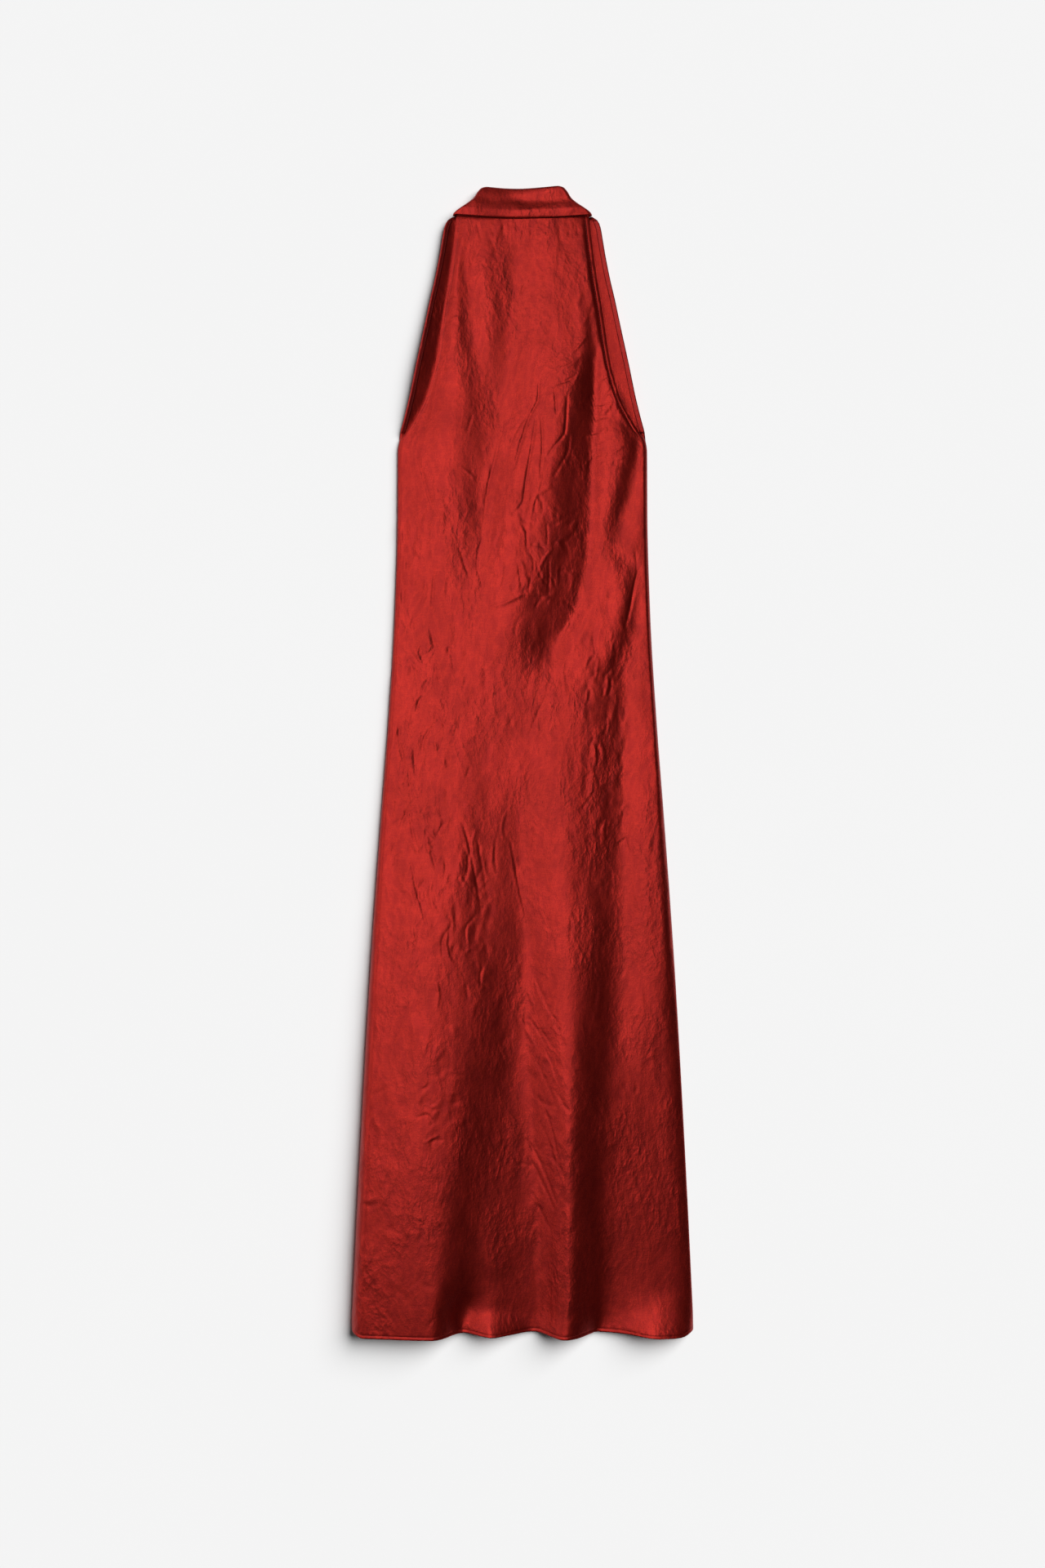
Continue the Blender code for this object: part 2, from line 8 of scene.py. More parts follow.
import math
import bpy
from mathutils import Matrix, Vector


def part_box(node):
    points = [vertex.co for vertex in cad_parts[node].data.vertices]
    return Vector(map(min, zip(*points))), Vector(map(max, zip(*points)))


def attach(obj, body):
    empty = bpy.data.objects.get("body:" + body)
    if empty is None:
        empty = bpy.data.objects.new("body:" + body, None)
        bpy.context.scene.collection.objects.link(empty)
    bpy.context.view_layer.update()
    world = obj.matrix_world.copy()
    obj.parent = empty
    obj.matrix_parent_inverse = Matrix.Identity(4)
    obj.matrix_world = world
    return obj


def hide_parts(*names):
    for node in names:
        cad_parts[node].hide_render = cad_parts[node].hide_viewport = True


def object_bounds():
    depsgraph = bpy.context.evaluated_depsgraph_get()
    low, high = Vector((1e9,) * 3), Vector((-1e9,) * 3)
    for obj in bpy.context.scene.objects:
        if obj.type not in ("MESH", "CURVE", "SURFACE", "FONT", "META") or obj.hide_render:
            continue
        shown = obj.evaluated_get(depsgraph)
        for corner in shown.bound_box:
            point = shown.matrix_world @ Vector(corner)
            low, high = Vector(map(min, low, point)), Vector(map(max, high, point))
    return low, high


bl_info = {
    "name": "Laid-out satin dress",
    "version": (1, 0, 0),
    "blender": (4, 5, 0),
    "location": "3D View > Sidebar > Dress",
    "description": "Builds the cloth, stitching and stage of a dress laid out flat",
    "category": "Object",
}

import bmesh
import bpy
import numpy as np
from bpy.props import FloatProperty, FloatVectorProperty, PointerProperty
from mathutils import Matrix, Vector

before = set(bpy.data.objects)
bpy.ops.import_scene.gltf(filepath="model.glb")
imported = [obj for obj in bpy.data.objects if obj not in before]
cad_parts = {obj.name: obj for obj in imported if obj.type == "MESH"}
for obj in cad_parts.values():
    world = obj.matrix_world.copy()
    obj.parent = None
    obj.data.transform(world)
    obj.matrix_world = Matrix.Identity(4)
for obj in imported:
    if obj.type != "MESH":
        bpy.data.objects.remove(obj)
CAD_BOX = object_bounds()

MM = 0.001
BODY = "root"

# Sizes in millimetres. Only the length is read from model.glb.
LENGTH = (CAD_BOX[1][1] - CAD_BOX[0][1]) / MM
COLLAR_HEIGHT = 35.0
SEAM_GAP = 0.3
NECK_SEAM = LENGTH - COLLAR_HEIGHT - SEAM_GAP
NECK_DIP = 3.5               # how far the neck seam sags in the middle
UNDERARM = 1094.0            # place of the underarm above the hem

# The front: its free edges, its hem and its turned and stitched strips.
SIDE_FOOT = 1.7              # upper face at the side seam
ARMHOLE_REST = 3.6           # upper face at the armhole's edge
ARMHOLE_EASE = 20.0
ARMHOLE_FREE = 12.0          # length over which the edge comes free above the underarm
ARMHOLE_CLEAR = 1.3          # least height of that edge over the side seam's
HEM_LIFT = 4.5
HEM_CORNER = 3.0
HEM_CORNER_REACH = 15.0
HEM_BLEND = 60.0
HEM_CALM = 40.0              # reach of the calmer cloth above the hem, and its relief
HEM_CALM_SHARE = 0.3
FOLD_TOP = 29.0
FOLD_FLOOR = 4.0
STRIP_RISE = 0.30            # extra height where an edge lies double
STITCH_GROOVE = 0.4
STITCH_GROOVE_WIDTH = 1.1
HEM_GROOVE_WIDTH = 0.8
EDGE_LIP = 0.8

# The back and its facings.
BACK_HEM = 5.0
BACK_FACE = 0.9              # inner face of the back over the surface it lies on
BACK_RIPPLE = 0.6
BACK_RIPPLE_LIFT = 0.15
BACK_RIPPLE_FADE = 20.0      # distance from the side over which the ripple dies away
SLIT_LENGTH = 200.0
SLIT_WIDTH = 1.5
ARMHOLE_CURL = 0.44
CURL_POWER = 1.12
FACING_WIDTH = 5.5
FACING_TOP = 1362.0
FACING_WALL = 0.6
FACING_SWELL = 0.35
FACING_UNEVEN = 0.12

# The collar.
COLLAR_TURN = 5.0            # radius of the turn at its sides
COLLAR_PUCKER = 0.2          # depth of the seam that joins the collar's halves in front
COLLAR_SINK = 1.0            # drop of the band where it meets the neck seam
COLLAR_ROLL = 0.9            # drop of the rounded top edge, and its reach
COLLAR_ROLL_REACH = 2.0
COLLAR_WRINKLE = 0.2
TOP_DIP = 2.0

# Seeds of what is scattered.
FRONT_SEED, BACK_SEED, FACING_SEED, COLLAR_SEED = 7, 9, 55, 61

SIDES = ((-1, "left"), (1, "right"))

# How finely the cloth is divided.
HEM_ROWS = (0.0, 1.0, 2.0, 2.9, 3.6, 4.3, 5.4, 7.2)
FRONT_CELL = 5.0
FRONT_ROWS = round((NECK_SEAM - HEM_ROWS[-1]) / FRONT_CELL)
FRONT_COLUMNS = 72
SHOULDER_POINTS = 9
CLEAR_CREASE = 0.32          # depth from which a crease is given finer faces
DEEP_CREASE = 0.56
PATH_STEPS = 3               # straight steps between two points of a crease
BACK_ROWS = 300
BACK_COLUMNS = 50
CURL_COLUMNS = 9
FACING_ROWS = 120
BUTTON_SIDES = 64
BUTTON_GATHERS = 16          # pleats of the cover under the button's head
LOOP_STEPS = 24
LOOP_SIDES = 12
FACING_COLUMNS = 6


def table(columns, *rows):
    """Return a table as one array for each named column."""
    return dict(zip(columns.split(), np.array(rows, float).T))


SIDE = table(
    "above_hem half_width",
    (0, 209.0), (17, 208.7), (81, 206.0), (251, 197.5), (452, 186.0), (628, 173.5),
    (752, 164.0), (877, 156.5), (997, 153.0), (1080, 152.5), (UNDERARM, 150.5))
FRONT_ARMHOLE = table(
    "above_hem half_width",
    (UNDERARM, 150.5), (1107, 140.0), (1120, 132.0), (1130, 126.0), (1143, 120.0),
    (1161, 114.0), (1188, 107.0), (1218, 102.0), (1253, 97.0), (1289, 91.0),
    (1338, 84.0), (NECK_SEAM, 81.0))
BACK_ARMHOLE = table(
    "above_hem half_width",
    (UNDERARM, 150.5), (1103, 149.0), (1117, 145.0), (1144, 138.0), (1182, 130.0),
    (1233, 119.0), (1264, 112.5), (1290, 106.5), (1318, 101.0), (1339, 97.5),
    (1353, 95.0), (1362, 91.0), (NECK_SEAM, 85.0))
LEFT_SIDE = table(
    "above_hem reach height",
    (0, 19, 24.0), (81, 17, 23.5), (251, 14, 20.0), (478, 11, 14.5), (628, 9, 10.0),
    (752, 8, 8.0), (UNDERARM, 7, 6.0), (1130, 4, 5.0), (NECK_SEAM, 4, 4.8))
RIGHT_SIDE = table(
    "above_hem reach height",
    (0, 34, 24.5), (30, 33, 13.5), (60, 31, 9.0), (100, 29, 8.2), (163, 26, 7.8), (251, 24, 7.5),
    (330, 22, 8.0), (420, 18, 10.0), (500, 13, 12.0), (628, 9, 12.0), (752, 6, 11.0),
    (960, 6, 10.0), (UNDERARM, 6, 7.0), (1130, 4, 5.2), (NECK_SEAM, 4, 4.6))

# The folds of the front: where each line runs and how high it lies. The surface goes
# straight from one line to the next, rounded at each line over its own reach.
FOLD_REACH = dict(left_crest=22, left_brow=14, left_floor=12, pleat=9, centre_floor=10,
                  rise=12, crest=14, shoulder=12, slope=9, floor=5, far_side=7,
                  band_crest=9, band_floor=9, right_ridge=14)
FOLD_X = table(
    "above_hem left_crest left_brow left_floor pleat centre_floor rise crest shoulder"
    " slope floor far_side band_crest band_floor right_ridge",
    (0, -116, -98, -76, -38, 10, 26, 40, 60, 76, 90, 98, 112, 134, 157),
    (30, -118, -100, -74, -42, -2, 30, 43, 58, 80, 96, 106, 118, 136, 156),
    (60, -120, -94, -66, -36, -2, 27, 46, 57, 80, 97, 108, 120, 136, 156),
    (100, -121, -92, -62, -34, -2, 27, 46, 58, 79, 97, 109, 120, 134, 156),
    (163, -122, -87, -56, -28, 0, 28, 46, 60, 78, 94, 106, 118, 132, 156),
    (251, -120, -79, -46, -20, 6, 24, 48, 62, 75, 90, 104, 116, 128, 156),
    (330, -116, -74, -44, -18, 4, 20, 50, 64, 77, 90, 103, 115, 128, 154),
    (420, -112, -68, -46, -18, 7, 19, 50, 65, 78, 91, 103, 114, 126, 152),
    (500, -104, -72, -52, -28, 3, 17, 50, 65, 80, 93, 103, 113, 127, 146),
    (560, -90, -68, -47, -32, 0, 13, 50, 64, 79, 91, 102, 114, 126, 141),
    (620, -84, -62, -46, -32, 0, 14, 48, 62, 78, 91, 102, 114, 125, 138),
    (700, -90, -70, -56, -40, -10, 12, 48, 60, 76, 91, 102, 115, 125, 137),
    (780, -96, -80, -62, -34, -16, 0, 14, 36, 62, 78, 93, 108, 124, 136),
    (810, -96, -80, -62, -38, -22, -8, 2, 14, 28, 43, 78, 103, 124, 137),
    (840, -96, -80, -62, -46, -32, -22, -8, 11, 27, 41, 60, 113, 127, 141),
    (870, -96, -80, -62, -48, -34, -22, -9, 15, 36, 57, 73, 117, 136, 146),
    (900, -96, -78, -58, -44, -34, -24, -6, 22, 44, 70, 86, 124, 137, 146),
    (930, -96, -78, -58, -46, -36, -22, -2, 27, 47, 76, 90, 117, 138, 146),
    (960, -96, -76, -58, -46, -36, -14, 30, 42, 57, 81, 91, 99, 114, 132),
    (990, -92, -76, -60, -45, -36, -16, 32, 44, 56, 82, 91, 102, 120, 134),
    (1037, -86, -76, -61, -45, -36, -12, 30, 42, 56, 85, 93, 116, 133, 143),
    (1085, -82, -75, -60, -43, -28, 0, 37, 47, 58, 87, 93, 125, 140, 144),
    (1130, -80, -74, -57, -40, -24, 2, 45, 58, 70, 88, 94, 107, 115, 119),
    (1172, -80, -76, -59, -42, -22, 4, 50, 63, 74, 88, 95, 101, 103, 105),
    (1200, -84, -76, -58, -44, -13, 5, 50, 61, 80, 88, 94, 96, 98, 99),
    (1225, -86, -78, -61, -45, -12, 9, 48, 58, 78, 86, 90, 92, 93, 94),
    (1265, -84, -78, -63, -45, -10, 15, 46, 56, 73, 82, 85, 86, 87, 88),
    (1320, -79, -72, -64, -46, -10, 16, 43, 53, 70, 75, 77, 78, 79, 79.6),
    (NECK_SEAM, -68, -60, -52, -38, -12, 18, 40, 50, 60, 66, 69, 71, 73, 75))
FOLD_HEIGHT = table(
    "above_hem left_crest left_brow left_floor pleat centre_floor rise crest shoulder"
    " slope floor far_side band_crest band_floor right_ridge",
    (0, 29.5, 29.3, 4.0, 24.5, 3.8, 6.0, 28.5, 28.5, 17.0, 4.0, 6.5, 8.0, 14.0, 26.2),
    (30, 29.5, 29.0, 4.8, 11.0, 5.6, 4.2, 26.0, 27.5, 16.0, 7.0, 6.6, 7.6, 9.8, 13.0),
    (60, 29.4, 28.4, 12.0, 10.6, 6.6, 4.0, 25.5, 27.2, 17.0, 8.6, 7.4, 7.6, 8.4, 9.2),
    (100, 29.2, 27.6, 15.6, 12.0, 6.4, 4.4, 25.2, 26.8, 18.0, 10.4, 8.6, 8.6, 8.4, 8.4),
    (163, 28.6, 26.0, 15.4, 10.4, 5.6, 6.4, 24.8, 26.2, 19.4, 12.2, 10.0, 9.0, 8.8, 8.4),
    (251, 27.4, 24.0, 13.6, 7.4, 4.4, 8.6, 24.6, 25.4, 20.8, 14.2, 10.6, 9.4, 8.6, 7.8),
    (330, 25.6, 21.8, 13.6, 6.4, 4.2, 9.8, 22.8, 22.8, 19.0, 13.8, 9.4, 7.8, 7.6, 8.4),
    (420, 22.4, 18.4, 14.0, 6.4, 4.2, 8.8, 18.8, 18.9, 16.5, 12.7, 8.3, 5.8, 5.8, 9.8),
    (500, 19.4, 16.8, 12.6, 9.4, 4.0, 8.2, 15.4, 15.2, 13.8, 11.4, 8.4, 6.2, 6.0, 11.2),
    (560, 16.0, 13.8, 9.4, 8.6, 4.0, 7.4, 14.0, 13.4, 12.0, 10.2, 8.2, 6.0, 5.8, 10.6),
    (620, 13.4, 11.8, 9.2, 8.8, 5.2, 8.0, 13.6, 13.4, 12.5, 11.1, 9.2, 6.4, 6.2, 10.6),
    (700, 11.4, 11.2, 10.8, 10.4, 9.8, 10.4, 13.2, 13.2, 12.4, 11.3, 9.8, 7.6, 6.4, 10.2),
    (780, 11.0, 11.2, 11.4, 11.6, 11.4, 10.8, 10.8, 12.2, 13.8, 13.4, 12.2, 10.4, 7.4, 9.8),
    (810, 11.0, 11.4, 11.8, 12.4, 12.4, 12.0, 11.2, 9.6, 9.0, 10.6, 13.4, 11.0, 6.6, 9.4),
    (840, 11.0, 11.4, 12.0, 12.8, 13.6, 14.0, 13.8, 10.2, 5.6, 4.6, 10.0, 12.8, 7.0, 9.4),
    (870, 11.0, 11.4, 12.2, 13.4, 15.0, 16.4, 17.4, 13.4, 8.2, 4.3, 8.8, 12.8, 8.0, 9.4),
    (900, 11.4, 11.8, 12.2, 13.0, 14.6, 16.4, 18.6, 13.6, 9.0, 4.3, 8.2, 12.8, 8.6, 9.6),
    (930, 12.4, 12.0, 11.6, 11.8, 13.4, 16.6, 19.0, 15.8, 10.4, 4.3, 7.6, 11.2, 9.0, 9.8),
    (960, 13.2, 12.2, 10.6, 10.2, 12.2, 17.6, 16.8, 14.4, 9.4, 4.3, 7.6, 8.8, 7.6, 10.8),
    (990, 13.6, 12.4, 10.0, 8.8, 11.2, 17.4, 17.0, 15.2, 11.4, 4.3, 7.8, 9.8, 5.6, 9.4),
    (1037, 14.0, 12.6, 10.0, 8.0, 9.6, 16.4, 17.8, 16.0, 11.8, 4.2, 8.4, 11.8, 5.0, 8.4),
    (1085, 14.0, 12.4, 9.6, 7.2, 7.8, 12.4, 18.0, 17.2, 13.6, 4.2, 8.8, 12.2, 5.8, 6.4),
    (1130, 13.2, 11.6, 7.6, 4.8, 4.2, 9.8, 17.4, 16.6, 12.6, 4.4, 8.6, 9.4, 10.3, 10.3),
    (1172, 12.2, 10.8, 6.4, 5.2, 3.9, 8.6, 15.8, 16.0, 13.4, 5.0, 8.8, 9.6, 9.8, 9.6),
    (1200, 11.4, 9.6, 4.6, 7.0, 3.9, 8.4, 12.6, 13.8, 13.2, 8.4, 10.4, 10.6, 10.5, 10.3),
    (1225, 10.8, 9.0, 4.5, 8.0, 4.0, 7.4, 11.4, 11.6, 12.2, 9.2, 9.8, 9.9, 9.8, 9.6),
    (1265, 9.4, 7.8, 4.5, 8.4, 4.0, 7.2, 10.4, 9.4, 10.2, 9.6, 9.8, 9.7, 9.6, 9.3),
    (1320, 7.8, 6.8, 5.4, 7.6, 4.6, 6.8, 9.2, 8.3, 9.2, 9.4, 9.5, 9.5, 9.4, 9.2),
    (NECK_SEAM, 6.2, 6.0, 5.6, 6.2, 5.6, 6.8, 7.2, 6.8, 6.8, 6.6, 6.4, 6.2, 6.0, 5.6))

COLLAR_OUTLINE = table(
    "rise half_width",
    (0.0, 85.0), (1.5, 84.6), (5.0, 81.5), (9.5, 75.5), (15.5, 67.0), (21.5, 60.0),
    (30.0, 54.0), (33.5, 50.5), (COLLAR_HEIGHT, 47.0))
COLLAR_BODY = table(
    "rise front_height back_height",
    (0.0, 8.6, 0.0), (5.0, 9.2, 0.2), (9.5, 10.0, 1.5), (15.5, 10.5, 2.8),
    (24.0, 10.3, 2.8), (COLLAR_HEIGHT, 9.4, 2.8))

# The button from its outer face inwards: shares of its head's radius and its depth,
# and how strongly the cover is gathered there.
BUTTON_PROFILE = (
    (0.02, 0.0, 0), (0.45, 0.01, 0), (0.75, 0.05, 0), (0.92, 0.12, 0), (0.99, 0.2, 0),
    (0.97, 0.29, 0.004), (0.88, 0.36, 0.012), (0.66, 0.4, 0.03), (0.4, 0.42, 0.06),
    (0.36, 0.5, 0.02), (0.36, 1.0, 0))


def curve(stations, values, at):
    """Read a smooth curve through the stations that never swings past a value."""
    at = np.clip(at, stations[0], stations[-1])
    step = np.diff(stations)
    grade = np.diff(values) / step
    slope = np.empty(len(stations))
    slope[0], slope[-1] = grade[0], grade[-1]
    before, after = grade[:-1], grade[1:]
    same_way = before * after > 0
    weight_a, weight_b = 2 * step[1:] + step[:-1], step[1:] + 2 * step[:-1]
    safe = np.where(same_way, before, 1.0), np.where(same_way, after, 1.0)
    mean = (weight_a + weight_b) / (weight_a / safe[0] + weight_b / safe[1])
    slope[1:-1] = np.where(same_way, mean, 0.0)
    left = np.clip(np.searchsorted(stations, at, side="right") - 1, 0, len(step) - 1)
    width = step[left]
    t = (at - stations[left]) / width
    return ((1 + 2 * t) * (1 - t) ** 2 * values[left]
            + t * (1 - t) ** 2 * width * slope[left]
            + t ** 2 * (3 - 2 * t) * values[left + 1]
            - t ** 2 * (1 - t) * width * slope[left + 1])


def read(source, column, at, key="above_hem"):
    """Read one column of a table at a station between its rows."""
    return curve(source[key], source[column], at)


def half_width(armhole, above_hem):
    """Half the width of a panel: its side seam, then its armhole."""
    return np.where(np.less_equal(above_hem, UNDERARM), read(SIDE, "half_width", above_hem),
                    read(armhole, "half_width", above_hem))


def ease(t):
    """Go smoothly from 0 to 1."""
    t = np.clip(t, 0.0, 1.0)
    return t * t * (3 - 2 * t)


def side_foot(above_hem):
    """Upper face of the front at its side: on the seam, or free at the armhole."""
    return SIDE_FOOT + (ARMHOLE_REST - SIDE_FOOT) * ease(
        (above_hem - UNDERARM) / ARMHOLE_EASE)


def ramp(x, reach):
    """Rise of 1 in 1 that starts at 0, eased in over a reach on both sides of it."""
    return np.where(x < reach, np.clip(x + reach, 0, None) ** 2 / (4 * reach), x)


def folds(x, above_hem):
    """Height of the front's folds at points along one section."""
    width = half_width(FRONT_ARMHOLE, above_hem)
    left, right = ([float(read(side, column, above_hem)) for column in ("reach", "height")]
                   for side in (LEFT_SIDE, RIGHT_SIDE))
    lines = [left[0] - width, *(float(read(FOLD_X, name, above_hem)) for name in FOLD_REACH),
             width - right[0]]
    levels = [left[1], *(float(read(FOLD_HEIGHT, name, above_hem)) for name in FOLD_REACH),
              right[1]]
    grades = np.diff(levels) / np.diff(lines)
    inner = np.clip(x, lines[0], lines[-1])
    height = levels[0] + grades[0] * (inner - lines[0])
    for i, reach in enumerate(FOLD_REACH.values(), 1):
        reach = min(reach, lines[i] - lines[0], lines[-1] - lines[i])
        height += (grades[i] - grades[i - 1]) * ramp(inner - lines[i], reach)
    return height


def neck_dip(x):
    """How far the neck seam lies below its ends at a distance from the centre."""
    end = COLLAR_OUTLINE["half_width"][0]
    return NECK_DIP * np.maximum(0.0, 1 - (x / end) ** 2)


def hem_corner(x):
    """How far the hem rises towards its two corners."""
    side = SIDE["half_width"][0] - HEM_CORNER_REACH
    return HEM_CORNER * ease((np.abs(x) - side) / HEM_CORNER_REACH)


def near_neck(above_hem):
    """Share of the neck seam's curve that is felt at a place above the hem."""
    return ease((above_hem - NECK_SEAM + HEM_BLEND) / HEM_BLEND)


def front_rise(x, height, above_hem):
    """Shift of front points along the dress, from the curves of its hem and neck."""
    shorter = HEM_LIFT * (1 - (height - FOLD_FLOOR) / (FOLD_TOP - FOLD_FLOOR))
    near_hem = 1 - ease(above_hem / HEM_BLEND)
    return (near_hem * np.maximum(0.0, shorter + hem_corner(x))
            - near_neck(above_hem) * neck_dip(x))


def noise(x, y, cell_x, cell_y, seed):
    """Smooth random field between -1 and 1, with cells of a given size."""
    side = 97
    lattice = np.random.RandomState(seed).uniform(-1, 1, (side, side))
    across, along = x / cell_x, y / cell_y
    column, row = np.floor(across).astype(int), np.floor(along).astype(int)
    s, t = ease(across - column), ease(along - row)
    left, right = column % side, (column + 1) % side
    low, high = (lattice[at % side, left] * (1 - s) + lattice[at % side, right] * s
                 for at in (row, row + 1))
    return low * (1 - t) + high * t


# ---------------------------------------------------------------- creases

def passed_along(steps):
    """Distance from the start of a line to each of its points."""
    return np.concatenate([[0.0], np.cumsum(steps)])


def crease(width, depth, lean, *path):
    """One crease: a trough or ridge along a path of (x, above_hem) points.

    A negative depth is a trough. The lean tilts the crease: with a positive one the
    cloth stands higher on the right of the path than on its left.
    """
    path = np.array(path, float)
    passed = passed_along(np.hypot(*np.diff(path, axis=0).T))
    at = np.linspace(0, passed[-1], PATH_STEPS * (len(path) - 1) + 1)
    path = np.stack([curve(passed, column, at) for column in path.T], -1)
    return {"width": width, "depth": depth, "lean": lean, "path": path}


BODICE_CREASES = (
    # the fan that runs down from the bust
    crease(1.9, -0.81, -0.62, (20, 1168), (18, 1139), (10, 1125), (0, 1097), (-12, 1055)),
    crease(1.8, -0.68, -0.56, (16, 1120), (10, 1080), (3, 1038), (0, 1015), (-14, 1000)),
    crease(1.6, -0.62, -0.31, (22, 1128), (24, 1087), (21, 1050)),
    crease(1.8, -0.50, -0.37, (5, 1123), (-8, 1105), (-18, 1080)),
    crease(1.8, -0.74, -0.25, (38, 1158), (40, 1140), (41, 1122)),
    crease(1.8, -0.74, -0.50, (54, 1146), (51, 1100), (40, 1086), (29, 1070)),
    crease(2.0, -0.62, 0.37, (66, 1169), (52, 1162), (38, 1158)),
    crease(2.0, -0.56, -0.37, (57, 1100), (55, 1080), (45, 1060), (37, 1046)),
    crease(2.1, 0.68, 0.00, (58, 1196), (68, 1206), (79, 1220)),
    crease(2.0, 0.62, 0.00, (46, 1178), (60, 1184), (73, 1196)),
    crease(2.0, -0.56, 0.00, (50, 1172), (62, 1176), (72, 1186)),
    crease(1.8, 0.56, 0.00, (56, 1152), (64, 1163), (71, 1177)),
    crease(2.1, 0.37, 0.00, (36, 1180), (44, 1194), (56, 1204)),
    # long fine lines left of the fan
    crease(2.0, -0.37, -0.31, (-22, 1121), (-34, 1070), (-45, 1022), (-47, 1000), (-50, 978)),
    crease(1.8, -0.31, 0.25, (-36, 1062), (-42, 1036), (-44, 1012)),
    crease(1.8, -0.31, -0.25, (-28, 1050), (-35, 1020), (-38, 1000)),
    crease(1.6, -0.31, 0.19, (-20, 1044), (-22, 1018), (-24, 1002)),
    # the curved line in from the left underarm
    crease(2.3, -0.43, -0.56, (-132, 1078), (-122, 1048), (-113, 1017), (-99, 1000)),
    crease(1.8, 0.31, 0.00, (-100, 1054), (-92, 1051), (-86, 1056)),
    crease(1.8, -0.37, 0.00, (-99, 991), (-94, 988), (-88, 990)),
    # short pulls beside the neck and the armholes
    crease(1.6, -0.37, -0.19, (-56, 1358), (-53, 1348), (-50, 1338)),
    crease(1.6, -0.31, -0.19, (-40, 1340), (-35, 1330), (-30, 1322)),
    crease(1.8, 0.37, 0.00, (-48, 1313), (-41, 1318), (-37, 1322)),
    crease(1.8, -0.43, 0.00, (-48, 1303), (-42, 1308), (-36, 1310)),
    crease(1.8, 0.31, 0.00, (16, 1352), (13, 1343), (12, 1334)),
    crease(2.0, 0.31, 0.00, (28, 1240), (38, 1249), (46, 1254)),
    crease(1.8, 0.37, 0.00, (50, 1306), (52, 1314), (51, 1322)),
    crease(1.6, 0.43, 0.00, (74, 1287), (79, 1284), (83, 1285)),
    crease(1.6, 0.43, 0.00, (78, 1316), (82, 1310), (87, 1305)),
    crease(1.6, 0.43, 0.00, (87, 1253), (91, 1250), (95, 1250)),
    crease(1.8, 0.43, 0.00, (70, 1230), (76, 1236), (80, 1246)),
    crease(1.8, -0.43, 0.00, (-98, 1197), (-92, 1193), (-86, 1195)),
    crease(1.6, 0.37, 0.00, (-97, 1222), (-92, 1228), (-90, 1236)),
)

WAIST_CREASES = (
    # the crumple under the fan
    crease(1.8, 0.62, 0.00, (-45, 888), (-28, 891), (-9, 899), (3, 904), (22, 902)),
    crease(2.0, -0.47, 0.00, (-46, 882), (-30, 884), (-12, 892), (2, 897), (20, 895)),
    crease(1.6, -0.56, -0.19, (4, 982), (5, 970), (5, 958)),
    crease(1.6, -0.52, 0.19, (6, 966), (18, 963), (33, 961)),
    crease(1.8, 0.62, 0.14, (37, 960), (27, 948), (21, 936), (18, 924)),
    crease(1.6, -0.47, -0.19, (29, 988), (30, 976), (30, 964)),
    crease(1.6, -0.43, 0.00, (34, 987), (42, 991), (50, 993)),
    crease(1.6, -0.52, -0.28, (10, 954), (13, 942), (14, 928)),
    crease(1.6, -0.52, -0.28, (-6, 944), (-4, 930), (-2, 912)),
    crease(1.6, -0.47, -0.24, (10, 926), (8, 914), (7, 904)),
    crease(1.8, -0.62, -0.33, (32, 948), (32, 926), (31, 903)),
    crease(1.8, 0.38, 0.00, (-30, 958), (-25, 950), (-18, 953)),
    crease(1.8, -0.38, -0.19, (-24, 948), (-25, 930), (-30, 908)),
    crease(1.8, 0.38, 0.00, (18, 1027), (13, 1014), (4, 1011)),
    crease(1.6, -0.43, -0.19, (17, 1024), (15, 1012), (14, 1003)),
    crease(2.0, 0.38, 0.00, (44, 1002), (58, 1005), (70, 1012)),
    crease(2.0, -0.43, 0.00, (46, 984), (60, 992), (72, 1000)),
    # left of it
    crease(2.0, -0.43, -0.38, (-78, 964), (-71, 938), (-63, 922)),
    crease(1.8, -0.38, -0.24, (-48, 976), (-54, 958), (-56, 940), (-50, 918), (-47, 900)),
    crease(1.6, -0.33, -0.19, (-128, 952), (-129, 928), (-130, 902)),
    crease(1.8, -0.38, -0.24, (-101, 942), (-108, 926), (-110, 902), (-112, 880)),
    crease(1.8, 0.28, 0.09, (-92, 930), (-97, 908), (-96, 888)),
    # across the fold below the right underarm
    crease(2.0, 0.43, 0.00, (80, 953), (96, 957), (118, 956)),
    crease(1.8, -0.38, 0.00, (84, 962), (100, 966), (112, 963)),
    crease(1.8, 0.33, 0.00, (88, 944), (102, 946), (114, 950)),
    crease(1.8, 0.33, 0.00, (86, 1090), (100, 1093), (114, 1089)),
    crease(1.8, -0.33, 0.00, (86, 1080), (99, 1084), (112, 1082)),
    crease(1.8, 0.33, 0.00, (88, 1070), (101, 1074), (115, 1074)),
    crease(1.8, 0.38, 0.00, (92, 1118), (102, 1127), (110, 1140)),
    crease(1.8, -0.38, 0.00, (98, 1110), (108, 1119), (118, 1133)),
    crease(1.8, -0.33, 0.00, (98, 1142), (104, 1150), (110, 1158)),
    # the sharp line at the right side of the waist
    crease(2.1, -0.75, -0.71, (143, 939), (135, 913), (131, 890), (124, 862)),
    crease(1.8, -0.38, -0.24, (137, 958), (139, 936), (136, 918)),
    crease(2.0, 0.47, 0.28, (58, 872), (50, 858), (44, 848)),
    crease(1.8, 0.33, 0.00, (84, 890), (76, 876), (71, 862)),
    crease(1.8, 0.33, 0.14, (29, 828), (28, 806), (25, 780)),
    crease(2.0, -0.33, -0.24, (29, 782), (20, 764), (11, 742), (6, 730)),
    crease(2.0, 0.28, 0.14, (36, 777), (27, 756), (22, 744)),
)

